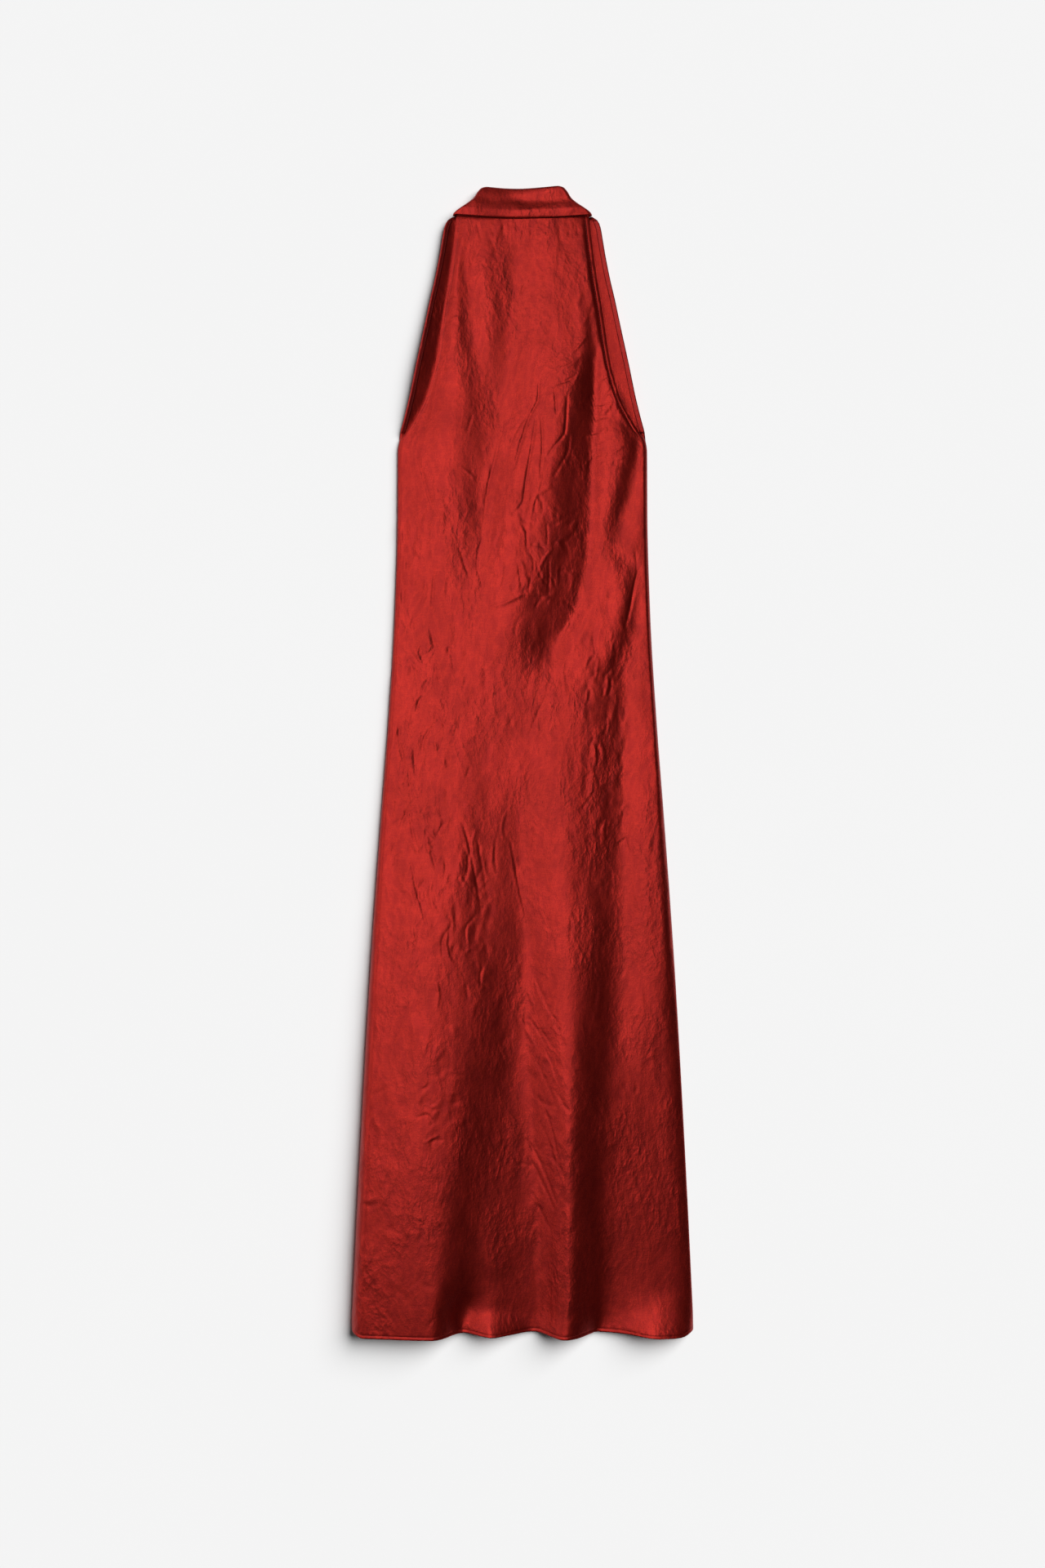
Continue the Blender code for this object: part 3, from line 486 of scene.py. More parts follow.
SKIRT_CREASES = (
    # down the left side
    crease(1.6, -0.53, -0.22, (-126, 778), (-128, 769), (-130, 761)),
    crease(1.8, -0.53, -0.22, (-108, 745), (-116, 736), (-121, 726), (-123, 712)),
    crease(1.6, 0.31, 0.00, (-104, 748), (-112, 750), (-118, 744)),
    crease(1.8, -0.40, -0.22, (-133, 716), (-132, 698), (-130, 680)),
    crease(2.0, -0.40, -0.27, (-153, 748), (-150, 722), (-145, 696), (-144, 668)),
    crease(1.8, -0.49, -0.22, (-138, 646), (-144, 634), (-150, 618)),
    crease(1.8, -0.31, -0.18, (-95, 772), (-97, 754), (-96, 738)),
    crease(1.8, -0.31, -0.18, (-118, 704), (-121, 690), (-120, 676)),
    crease(1.6, -0.31, -0.16, (-77, 752), (-78, 744), (-77, 738)),
    crease(1.8, -0.31, 0.16, (-48, 820), (-45, 802), (-46, 784)),
    crease(1.8, -0.31, -0.16, (-68, 802), (-72, 792), (-76, 780)),
    crease(2.0, 0.26, 0.00, (-58, 708), (-42, 698), (-24, 690)),
    crease(1.6, -0.40, -0.22, (-138, 642), (-134, 612), (-122, 584)),
    crease(1.6, -0.45, -0.31, (-137, 582), (-130, 546), (-121, 516), (-115, 494)),
    crease(1.8, -0.36, -0.22, (-95, 582), (-94, 568), (-96, 556)),
    crease(1.8, -0.40, -0.22, (-86, 508), (-90, 486), (-88, 460)),
    crease(1.8, -0.36, -0.22, (-95, 492), (-98, 476), (-97, 462)),
    crease(1.6, -0.31, 0.00, (-156, 514), (-150, 518), (-144, 518)),
    crease(1.6, -0.31, -0.18, (-162, 492), (-161, 474), (-160, 458)),
    crease(1.8, -0.31, -0.18, (-112, 556), (-116, 546), (-119, 536)),
    crease(2.0, 0.27, 0.00, (-118, 604), (-128, 592), (-134, 584)),
    # into the left hollow
    crease(2.0, -0.62, -0.58, (-74, 626), (-66, 600), (-60, 570), (-54, 536), (-51, 516)),
    crease(2.0, -0.41, -0.33, (-56, 606), (-50, 574), (-45, 546)),
    crease(2.0, -0.37, -0.29, (-31, 612), (-35, 588), (-32, 562)),
    crease(2.1, -0.25, -0.65, (-16, 604), (-10, 572), (-5, 545), (3, 512), (8, 492)),
    crease(2.0, 0.37, 0.20, (-20, 640), (-26, 620), (-24, 604)),
    crease(1.8, 0.42, 0.00, (-50, 480), (-42, 478), (-34, 469)),
    crease(1.8, -0.42, -0.26, (-48, 452), (-52, 440), (-51, 424)),
    crease(1.8, 0.37, 0.16, (-5, 456), (-7, 444), (-10, 434)),
    # across the right band
    crease(2.1, 0.34, 0.00, (60, 560), (84, 556), (104, 551), (126, 549)),
    crease(2.0, -0.34, 0.00, (66, 553), (88, 549), (108, 544)),
    crease(1.8, -0.39, -0.24, (124, 612), (127, 600), (130, 588)),
    crease(1.6, -0.29, -0.20, (143, 634), (146, 618), (150, 604)),
    crease(1.8, -0.39, -0.24, (58, 512), (58, 496), (57, 480)),
    crease(1.8, 0.34, 0.00, (132, 500), (141, 504), (150, 506)),
    crease(1.8, 0.34, 0.15, (88, 672), (82, 660), (74, 648)),
    crease(2.0, -0.44, -0.20, (86, 664), (79, 654), (72, 642)),
    crease(1.8, 0.34, 0.15, (97, 432), (93, 412), (91, 388)),
    crease(1.8, -0.34, -0.15, (92, 436), (89, 416), (86, 396)),
    # slanting lines over the centre of the skirt
    crease(1.8, -0.81, -0.62, (15, 438), (23, 416), (34, 394), (46, 378)),
    crease(1.8, -0.62, -0.50, (8, 388), (22, 366), (34, 344)),
    crease(1.8, -0.50, -0.37, (16, 384), (28, 364), (37, 350)),
    crease(1.8, -0.56, -0.43, (24, 356), (32, 340), (39, 322), (44, 306)),
    crease(1.8, -0.56, -0.43, (14, 342), (24, 320), (33, 300), (41, 278)),
    crease(1.8, -0.43, -0.37, (36, 304), (46, 290), (56, 276)),
    crease(2.0, -0.68, -0.56, (19, 294), (30, 268), (38, 240), (45, 208), (51, 190)),
    crease(2.0, -0.74, -0.62, (3, 240), (18, 218), (30, 190), (41, 162)),
    crease(2.0, -0.56, -0.50, (1, 226), (14, 205), (26, 182), (38, 154)),
    crease(1.8, -0.50, -0.37, (20, 262), (32, 236), (41, 206)),
    crease(2.0, -0.50, -0.43, (10, 176), (22, 152), (32, 130)),
    crease(1.8, 0.43, 0.00, (54, 336), (63, 328), (74, 329)),
    # short ones low down
    crease(2.0, 0.37, 0.00, (-100, 300), (-88, 298), (-76, 299)),
    crease(2.0, -0.37, 0.00, (-98, 289), (-86, 287), (-72, 290)),
    crease(2.0, 0.43, 0.00, (-198, 172), (-188, 168), (-178, 172)),
    crease(2.0, -0.43, 0.00, (-196, 164), (-186, 161), (-174, 166)),
    crease(2.0, 0.37, 0.00, (-112, 148), (-102, 143), (-92, 144)),
    crease(2.0, -0.34, -0.20, (62, 128), (54, 104), (46, 80)),
    crease(2.0, 0.37, 0.00, (-196, 100), (-184, 96), (-172, 98)),
)

# Fields of small creases: the middle of a field and its reach, how many there are,
# how long, how far they slant to the right of lengthwise in degrees, and how deep.
FRONT_CRINKLES = table(
    "x above_hem reach_x reach_y count length slant spread depth",
    (0, 660, 205, 680, 300, 26, 0, 26, 0.29),
    (0, 960, 60, 75, 70, 22, -12, 34, 0.36),
    (-118, 900, 34, 110, 34, 26, 4, 20, 0.43),
    (-128, 680, 36, 160, 90, 20, -6, 26, 0.36),
    (102, 720, 26, 120, 70, 26, 8, 16, 0.36),
    (98, 850, 30, 60, 30, 20, 24, 22, 0.30),
    (-62, 560, 28, 100, 44, 30, -8, 16, 0.38),
    (28, 290, 26, 130, 56, 32, -32, 10, 0.34),
    (101, 1120, 18, 66, 30, 22, 60, 14, 0.46),
    (-92, 1200, 10, 80, 16, 14, 78, 16, 0.29),
    (90, 1240, 10, 110, 24, 12, 76, 18, 0.32),
    (-96, 290, 30, 70, 34, 20, 70, 26, 0.32),
    (-80, 420, 60, 80, 40, 26, 4, 24, 0.32),
    (130, 560, 34, 120, 40, 26, 0, 30, 0.22),
    (140, 180, 50, 120, 36, 26, 20, 50, 0.16),
    (-140, 180, 60, 130, 46, 24, 20, 50, 0.29),
    (0, 1352, 70, 12, 30, 12, 0, 12, 0.29),
)
BACK_CRINKLES = table(
    "x above_hem reach_x reach_y count length slant spread depth",
    (0, 660, 200, 660, 320, 34, 0, 26, 0.30),
    (-20, 1010, 90, 90, 40, 34, -14, 20, 0.38),
    (60, 420, 80, 200, 50, 44, -10, 14, 0.34),
)

# Soft uneven swelling of the cloth between its creases.
FRONT_SWELL = table(
    "cell_x cell_y turn height seed",
    (46, 120, 8, 0.18, 31), (26, 60, -12, 0.16, 32), (13, 28, 10, 0.15, 33))
# Places where the front is more or less crumpled than elsewhere, and by how much.
FRONT_LIVELINESS = table(
    "x above_hem reach_x reach_y gain",
    (-120, 720, 60, 240, 0.2), (-140, 300, 60, 200, 0.2), (-40, 180, 50, 160, -0.4),
    (150, 180, 60, 180, -0.45), (-30, 560, 30, 90, -0.2), (0, 1290, 80, 60, 0.2))
BACK_SWELL = table(
    "cell_x cell_y turn height seed",
    (40, 110, -6, 0.10, 41), (22, 50, 10, 0.08, 42))


def crinkles(fields, seed):
    """Small creases spread over each field, all from one seed."""
    random = np.random.RandomState(seed)
    lines = []
    for row in zip(*fields.values()):
        field = dict(zip(fields, row))
        for _ in range(int(field["count"])):
            middle = (field["x"] + field["reach_x"] * random.uniform(-1, 1),
                      field["above_hem"] + field["reach_y"] * random.uniform(-1, 1))
            slant = math.radians(field["slant"] + field["spread"] * random.normal())
            reach = 0.5 * field["length"] * random.uniform(0.4, 1.5)
            bend = 0.22 * reach * random.normal()
            along = np.array((math.sin(slant), math.cos(slant)))
            across = np.array((along[1], -along[0]))
            depth = field["depth"] * random.uniform(0.4, 1.3)
            depth = depth if random.uniform() < 0.4 else -depth
            lines.append(crease(random.uniform(1.8, 2.9), depth,
                                -abs(depth) * random.uniform(-0.3, 0.9),
                                middle - reach * along, middle + bend * across,
                                middle + reach * along))
    return lines


def along_crease(line, x, above_hem, reach):
    """Points near a crease: which they are, their signed distance and share of its length."""
    path = line["path"]
    low, high = path.min(axis=0) - reach, path.max(axis=0) + reach
    near = np.flatnonzero((above_hem > low[1]) & (above_hem < high[1])
                          & (x > low[0]) & (x < high[0]))
    px, py = x[near], above_hem[near]
    steps = np.hypot(*np.diff(path, axis=0).T)
    passed = passed_along(steps)
    nearest = np.full(px.shape, 1e9)
    share = np.zeros(px.shape)
    upward = 1.0 if path[-1, 1] > path[0, 1] else -1.0
    for start, end, step, before in zip(path[:-1], path[1:], steps, passed):
        way = (end - start) / step
        t = np.clip((px - start[0]) * way[0] + (py - start[1]) * way[1], 0, step)
        off_x, off_y = px - start[0] - t * way[0], py - start[1] - t * way[1]
        gap = np.hypot(off_x, off_y)
        side = np.where(off_x * way[1] - off_y * way[0] > 0, upward, -upward)
        closer = gap < np.abs(nearest)
        nearest = np.where(closer, side * gap, nearest)
        share = np.where(closer, (before + t) / passed[-1], share)
    return near, nearest, share


def near_creases(lines, x, above_hem, margin):
    """Mark the points that lie on a crease or within a margin of one."""
    marked = np.zeros(x.shape, bool)
    for line in lines:
        reach = 1.7 * line["width"] + margin
        near, nearest, _ = along_crease(line, x, above_hem, reach)
        marked[near[np.abs(nearest) < reach]] = True
    return marked


def relief(x, above_hem, lines, swell):
    """Height that creases and swelling add at points of a panel."""
    height = np.zeros_like(x)
    for line in lines:
        near, nearest, share = along_crease(line, x, above_hem, 3 * line["width"])
        offset = nearest / line["width"]
        fade = np.sqrt(np.clip(4 * share * (1 - share), 0, 1))
        height[near] += fade * np.exp(-offset ** 2) * (line["depth"] + line["lean"] * offset)
    for row in zip(*swell.values()):
        part = dict(zip(swell, row))
        turn = math.radians(part["turn"])
        across = x * math.cos(turn) - above_hem * math.sin(turn)
        along = x * math.sin(turn) + above_hem * math.cos(turn)
        field = noise(across, along, part["cell_x"], part["cell_y"], int(part["seed"]))
        height += part["height"] * (1 - 2.2 * np.abs(field))
    return height


# ---------------------------------------------------------------- meshes

def to_model(above_hem):
    """Distance along the model's Y axis, in millimetres, of a place above the hem."""
    return above_hem - LENGTH / 2


def grid_faces(rows, columns):
    """The faces between the points of a grid, as four point numbers each."""
    index = np.arange(rows * columns).reshape(rows, columns)
    return np.stack([index[:-1, :-1], index[:-1, 1:], index[1:, 1:], index[1:, :-1]], -1)


def grid_mesh(name, x, y, height, keep=None):
    """Mesh from a grid of points in millimetres; keep marks the faces to make."""
    points = np.stack([x, y, height], -1).reshape(-1, 3) * MM
    quads = grid_faces(*x.shape)
    quads = quads[keep] if keep is not None else quads.reshape(-1, 4)
    mesh = bpy.data.meshes.new(name)
    mesh.from_pydata(points.tolist(), [], quads.tolist())
    mesh.shade_smooth()
    return mesh


def show(name, mesh, material, slot, *nodes):
    """Put a finished mesh in the scene as a piece of the dress."""
    piece = bpy.data.objects.new(name, mesh)
    collection("Dress").objects.link(piece)
    mesh.materials.append(material)
    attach(piece, BODY)
    if nodes:
        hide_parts(*nodes)
    return piece


def collection(name):
    """Return the collection of that name, made and linked on first use."""
    found = bpy.data.collections.get(name)
    if found is None:
        found = bpy.data.collections.new(name)
        bpy.context.scene.collection.children.link(found)
    return found


def add_wall(piece, thickness, offset):
    """Give a surface the thickness of its cloth."""
    wall = piece.modifiers.new("Wall", "SOLIDIFY")
    wall.thickness = thickness * MM
    wall.offset = offset


def stitches(name, lines, cloth, material, slot):
    """Join short flattened threads along each line of points into one piece."""
    sides, sections = 6, ((-0.5, 0.25), (-0.36, 0.85), (0.0, 1.0), (0.36, 0.85), (0.5, 0.25))
    points, faces = [], []
    around = np.linspace(0, 2 * math.pi, sides, endpoint=False)
    for line in lines:
        steps = np.linalg.norm(np.diff(line, axis=0), axis=1)
        passed = passed_along(steps)
        pitch = cloth.stitch_length + cloth.stitch_gap
        for start in np.arange(pitch, passed[-1] - pitch, pitch):
            ends = [[np.interp(at, passed, line[:, i]) for i in range(3)]
                    for at in (start, start + cloth.stitch_length)]
            ends = np.array(ends)
            way = ends[1] - ends[0]
            across = np.array((way[1], -way[0], 0.0)) / np.hypot(way[0], way[1])
            up = np.cross(across, way)
            up /= np.linalg.norm(up)
            base = len(points)
            for along, size in sections:
                centre = ends.mean(axis=0) + along * way + up * cloth.stitch_width * 0.15
                for angle in around:
                    points.append(centre + size * cloth.stitch_width * (
                        0.5 * math.cos(angle) * across + 0.34 * math.sin(angle) * up))
            for ring in range(len(sections) - 1):
                for i in range(sides):
                    a, b = base + ring * sides + i, base + ring * sides + (i + 1) % sides
                    faces.append((a, a + sides, b + sides, b))
            faces.append([base + i for i in range(sides)])
            faces.append([base + (len(sections) - 1) * sides + i for i in reversed(range(sides))])
    mesh = bpy.data.meshes.new(name)
    mesh.from_pydata((np.array(points) * MM).tolist(), [], faces)
    mesh.shade_smooth()
    return show(name, mesh, material, slot)


# ---------------------------------------------------------------- front

def past_shoulder(x, above_hem):
    """Share of the rounded side at points of the front: 0 where it starts, 1 at the edge."""
    reach = np.where(x < 0, read(LEFT_SIDE, "reach", above_hem),
                     read(RIGHT_SIDE, "reach", above_hem))
    width = half_width(FRONT_ARMHOLE, above_hem)
    return np.clip((np.abs(x) - width + reach) / reach, 0, 1)


def front_section(x, above_hem):
    """Height of the front's folds and rounded sides at points along one section."""
    foot = side_foot(above_hem)
    return foot + (folds(x, above_hem) - foot) * np.sqrt(1 - past_shoulder(x, above_hem) ** 2)


def front_creases(cloth):
    """The front's listed creases, and the stitched lines beside its armholes."""
    stations = np.linspace(UNDERARM + 6, NECK_SEAM, 24)
    lines = [*BODICE_CREASES, *WAIST_CREASES, *SKIRT_CREASES]
    for side in (-1, 1):
        x = side * (half_width(FRONT_ARMHOLE, stations) - cloth.armhole_turn)
        lines.append(crease(STITCH_GROOVE_WIDTH, -STITCH_GROOVE, 0.0, *zip(x, stations)))
    return lines


def liveliness(x, above_hem):
    """How crumpled the front is at points, as a share of its usual relief."""
    share = np.ones_like(x)
    for mid_x, mid_y, reach_x, reach_y, gain in zip(*FRONT_LIVELINESS.values()):
        share += gain * np.exp(-((x - mid_x) / reach_x) ** 2
                               - ((above_hem - mid_y) / reach_y) ** 2)
    return share


def lift_front(x, above_hem, base, lines, cloth):
    """Add creases, swelling and turned edges to the folds, and return model places."""
    loose = (1 - past_shoulder(x, above_hem) ** 2) ** 0.25
    calm = HEM_CALM_SHARE + (1 - HEM_CALM_SHARE) * ease(above_hem / HEM_CALM)
    calm = calm * liveliness(x, above_hem)
    height = base + cloth.crumple * loose * calm * relief(x, above_hem, lines, FRONT_SWELL)
    inside = half_width(FRONT_ARMHOLE, above_hem) - np.abs(x)
    free = ease((above_hem - UNDERARM) / ARMHOLE_FREE)
    height += free * STRIP_RISE * (1 - ease((inside - cloth.armhole_turn + 1) / 1.5))
    height += STRIP_RISE * (1 - ease((above_hem - cloth.hem_stitch + 0.6) / 1.2))
    height -= STITCH_GROOVE * np.exp(-((above_hem - cloth.hem_stitch) / HEM_GROOVE_WIDTH) ** 2)
    height = np.maximum(height, SIDE_FOOT + ARMHOLE_CLEAR * free)
    return x, to_model(above_hem + front_rise(x, height, above_hem)), height


def flat_grid(stations, past):
    """Flat mesh of the front in millimetres, with the height of its folds as its z."""
    columns = []
    for above_hem in stations:
        width = half_width(FRONT_ARMHOLE, above_hem)
        left = width - float(read(LEFT_SIDE, "reach", above_hem)) * (1 - past)
        right = width - float(read(RIGHT_SIDE, "reach", above_hem)) * (1 - past)
        middle = np.linspace(-left[-1], right[-1], FRONT_COLUMNS)
        x = np.concatenate([-left[:-1], middle, right[:-1][::-1]])
        columns.append(np.stack([x, np.full(len(x), above_hem), front_section(x, above_hem)], -1))
    return np.array(columns)


def refined(points, faces, lines):
    """Split the faces near creases twice, the second time only by the deeper ones."""
    mesh = bmesh.new()
    verts = [mesh.verts.new(point) for point in points]
    for face in faces:
        mesh.faces.new([verts[i] for i in face])
    for least, cell in ((CLEAR_CREASE, FRONT_CELL), (DEEP_CREASE, FRONT_CELL / 2)):
        chosen = [line for line in lines if abs(line["depth"]) + abs(line["lean"]) > least]
        middles = np.array([face.calc_center_median() for face in mesh.faces])
        marked = near_creases(chosen, middles[:, 0], middles[:, 1], cell * 0.5)
        edges = {edge for face, mark in zip(mesh.faces, marked) if mark for edge in face.edges}
        bmesh.ops.subdivide_edges(mesh, edges=list(edges), cuts=1, use_grid_fill=True)
    return mesh


def turn_under(mesh, loop, inward, width):
    """Fold a strip of cloth under along a row of edge points, two faces wide."""
    rows = [loop]
    for share, drop in ((0.05, EDGE_LIP), (1.0, 0.8 * EDGE_LIP)):
        rows.append([])
        for vert in loop:
            place = vert.co + Vector(inward) * width * share * MM - Vector((0, 0, drop * MM))
            place.z = max(place.z, (BACK_FACE + 0.2) * MM)
            rows[-1].append(mesh.verts.new(place))
    for upper, lower in zip(rows, rows[1:]):
        for i in range(len(loop) - 1):
            mesh.faces.new((upper[i], lower[i], lower[i + 1], upper[i + 1]))


def make_front(cloth, finish):
    """The front panel, and the stitching of its hem and armholes."""
    rows = np.linspace(HEM_ROWS[-1], NECK_SEAM, FRONT_ROWS)[1:]
    past = np.sin(np.radians(np.linspace(90, 0, SHOULDER_POINTS + 1)))
    points = flat_grid(np.concatenate([HEM_ROWS, rows]), past)
    faces = grid_faces(*points.shape[:2])
    lines = front_creases(cloth) + crinkles(FRONT_CRINKLES, FRONT_SEED)
    mesh = refined(points.reshape(-1, 3), faces.reshape(-1, 4), lines)
    flat = np.array([vert.co for vert in mesh.verts])
    places = np.stack(lift_front(*flat.T, lines, cloth), -1) * MM
    for vert, place in zip(mesh.verts, places):
        vert.co = place
    verts = list(mesh.verts)
    edge = half_width(FRONT_ARMHOLE, flat[:, 1]) - np.abs(flat[:, 0]) < 0.01
    for side in (-1, 1):
        chosen = np.flatnonzero(edge & (side * flat[:, 0] > 0))
        order = chosen[np.argsort(flat[chosen, 1] * side)]
        turn_under(mesh, [verts[i] for i in order], (-side, 0, 0), cloth.armhole_turn)
    hem = np.flatnonzero(flat[:, 1] < 0.01)
    order = hem[np.argsort(flat[hem, 0])]
    turn_under(mesh, [verts[i] for i in order], (0, 1, 0), cloth.hem_turn)
    data = bpy.data.meshes.new("front_cloth")
    mesh.to_mesh(data)
    mesh.free()
    data.shade_smooth()
    piece = show("front_cloth", data, satin(finish), "satin", "front_panel")
    trims = front_stitching(cloth, finish, lines)


def front_stitching(cloth, finish, lines):
    """Stitches along the front's hem and armholes."""
    thread = thread_material(finish)
    reach = SIDE["half_width"][0] - cloth.armhole_turn
    x = np.arange(-reach, reach, 1.5)
    above = np.full(x.shape, cloth.hem_stitch)
    base = front_section(x, cloth.hem_stitch)
    hem = np.stack(lift_front(x, above, base, lines, cloth), -1)
    armholes = []
    stations = np.arange(UNDERARM + 10, NECK_SEAM - 1, 1.5)
    for side in (-1, 1):
        x = side * (half_width(FRONT_ARMHOLE, stations) - cloth.armhole_turn)
        base = np.array([front_section(*point) for point in zip(x, stations)])
        armholes.append(np.stack(lift_front(x, stations, base, lines, cloth), -1))
    return [stitches("hem_stitches", [hem], cloth, thread, "satin"),
            stitches("front_armhole_stitches", armholes, cloth, thread, "satin")]


# ---------------------------------------------------------------- back and facings

def shown_width(above_hem):
    """Width of the back's inside that shows beside the front at an armhole."""
    return half_width(BACK_ARMHOLE, above_hem) - half_width(FRONT_ARMHOLE, above_hem)


def back_height(x, above_hem):
    """Rise of the back: flat, with its armhole edges curling up."""
    shown = shown_width(above_hem)
    if shown < 1.0:
        return np.zeros_like(x)
    start = half_width(BACK_ARMHOLE, above_hem) - shown
    share = np.clip((np.abs(x) - start) / shown, 0, 1)
    return ARMHOLE_CURL * shown * share ** CURL_POWER


def back_rise(x, above_hem):
    """Shift of back points along the dress, from the curves of its hem and neck."""
    near_hem = 1 - ease((above_hem - BACK_HEM) / HEM_BLEND)
    return near_hem * hem_corner(x) - near_neck(above_hem) * neck_dip(x)


def make_back(finish):
    """The back panel, flat underneath, with its slit at the neck."""
    stations = np.linspace(BACK_HEM, NECK_SEAM, BACK_ROWS)
    xs, heights = [], []
    for above_hem in stations:
        width = float(half_width(BACK_ARMHOLE, above_hem))
        inner = width - max(3 * FACING_WIDTH, shown_width(above_hem))
        half = np.concatenate([np.linspace(SLIT_WIDTH / 2, inner, BACK_COLUMNS, endpoint=False),
                               np.linspace(inner, width, CURL_COLUMNS)])
        across = np.concatenate([-half[::-1], half])
        xs.append(across)
        heights.append(back_height(across, above_hem))
    x, height = np.array(xs), np.array(heights)
    above = np.repeat(stations[:, None], x.shape[1], axis=1)
    fade = ease((np.abs(x[:, -1:]) - np.abs(x)) / BACK_RIPPLE_FADE)
    lines = crinkles(BACK_CRINKLES, BACK_SEED)
    ripple = relief(x.ravel(), above.ravel(), lines, BACK_SWELL).reshape(x.shape)
    height = height + fade * np.clip(ripple + BACK_RIPPLE_LIFT, 0, BACK_RIPPLE) + BACK_FACE
    y = to_model(above + back_rise(x, above))
    keep = np.ones((BACK_ROWS - 1, x.shape[1] - 1), bool)
    keep[stations[:-1] > NECK_SEAM - SLIT_LENGTH, x.shape[1] // 2 - 1] = False
    mesh = grid_mesh("back_cloth", x, y, height, keep)
    piece = show("back_cloth", mesh, satin(finish), "satin", "back_panel")
    add_wall(piece, BACK_FACE - 0.05, -1)


def make_facings(cloth, finish):
    """The narrow facings on the inside of the back's armholes, and their stitching."""
    material = satin(finish, inside=True)
    lines = []
    for side, name in SIDES:
        stations = np.linspace(UNDERARM + 8, FACING_TOP, FACING_ROWS)
        xs, ys, heights = [], [], []
        for above_hem in stations:
            width = half_width(BACK_ARMHOLE, above_hem)
            across = side * np.linspace(width - FACING_WIDTH, width - 0.2, FACING_COLUMNS)
            across = across[::side]
            xs.append(across)
            ys.append(to_model(above_hem + back_rise(across, above_hem)))
            swell = FACING_SWELL * np.sin(np.linspace(0, math.pi, FACING_COLUMNS))
            heights.append(back_height(across, above_hem) + BACK_FACE + SEAM_GAP + swell)
        x, y, height = np.array(xs), np.array(ys), np.array(heights)
        height += FACING_UNEVEN * noise(x, y, 5, 9, FACING_SEED)
        mesh = grid_mesh("facing_" + name, x, y, height)
        piece = show("facing_" + name, mesh, material, "facing_satin",
                     "armhole_facing_" + name)
        add_wall(piece, FACING_WALL, 1)
        line = np.stack([a[:, ::side][:, 1] for a in (x, y, height + FACING_WALL)], -1)
        lines.append((piece, line))
    thread = thread_material(finish)
    trims = [stitches("facing_stitches_" + name, [line], cloth, thread, "facing_satin")
             for (_, name), (_, line) in zip(SIDES, lines)]


# ---------------------------------------------------------------- collar and closure

def make_collar(cloth, finish):
    """Both halves of the stand collar, from the front seam round to the slit behind."""
    material = satin(finish)
    top_width = COLLAR_OUTLINE["half_width"][-1]
    for side, name in SIDES:
        rises = np.concatenate([np.linspace(0, COLLAR_HEIGHT - 1.6, 44),
                                COLLAR_HEIGHT - np.array((1.2, 0.8, 0.4, 0.0))])
        xs, ys, heights = [], [], []
        for rise in rises:
            width = float(read(COLLAR_OUTLINE, "half_width", rise, key="rise"))
            front = float(read(COLLAR_BODY, "front_height", rise, key="rise"))
            back = float(read(COLLAR_BODY, "back_height", rise, key="rise"))
            turn = width - COLLAR_TURN
            around = np.radians(np.linspace(0, 180, 17))
            front_x = np.linspace(0, turn, 64)[:-1]
            back_x = np.linspace(turn, SLIT_WIDTH / 2, 30)[1:]
            across = np.concatenate([front_x, turn + COLLAR_TURN * np.sin(around), back_x])
            face = np.maximum(front + collar_swell(side * front_x, rise), back + 1)
            middle, reach = (face[-1] + back) / 2, (face[-1] - back) / 2
            level = np.concatenate([face, middle + reach * np.cos(around),
                                    np.full(len(back_x), back)])
            seam = neck_dip(across) * (1 - rise / COLLAR_HEIGHT)
            dip = (TOP_DIP * np.maximum(0, 1 - (across / top_width) ** 2)
                   * (rise / COLLAR_HEIGHT) ** 2)
            roll = COLLAR_ROLL * ease((rise - COLLAR_HEIGHT + COLLAR_ROLL_REACH)
                                      / COLLAR_ROLL_REACH)
            xs.append(side * across)
            ys.append(to_model(NECK_SEAM + SEAM_GAP + rise - seam - dip))
            heights.append(np.maximum(level - roll, 0.05))
        x, y, height = np.array(xs), np.array(ys), np.array(heights)
        if side < 0:
            x, y, height = x[:, ::-1], y[:, ::-1], height[:, ::-1]
        mesh = grid_mesh("collar_cloth_" + name, x, y, height)
        for edge in mesh.edges:
            edge.use_edge_sharp = all(abs(mesh.vertices[i].co.x) < 1e-7 for i in edge.vertices)
        piece = show("collar_cloth_" + name, mesh, material, "satin", "collar_" + name)
        add_wall(piece, cloth.collar_wall, -1)


def collar_swell(x, rise):
    """Rise of the band's front: hollow in the middle, rolled over its seam on the right."""
    right = ease((x + 20) / 60)
    hollow = np.where(x < 0, 5.0, 2.6) * np.minimum(np.abs(x) / 58, 1) ** 1.5
    fall = (1 - right) * 0.12 * max(rise - 4, 0)
    roll = (0.35 + 0.65 * ease((x + 30) / 34)) * (1.6 * math.exp(-((rise - 6.5) / 5.5) ** 2)
                                                  - 1.4 * math.exp(-((rise - 20) / 6.5) ** 2))
    brim = right * 1.4 * float(ease((rise - 21) / 10))
    seam = COLLAR_PUCKER * np.exp(-(x / 0.8) ** 2) * float(ease((rise - 22) / 8))
    sink = COLLAR_SINK * float(1 - ease((rise + 0.3) / 2.2)) * (1 - ease((np.abs(x) - 25) / 30))
    wrinkle = COLLAR_WRINKLE * noise(x, np.full_like(x, rise), 12, 8, COLLAR_SEED)
    return hollow - fall + roll + brim - seam - sink + wrinkle


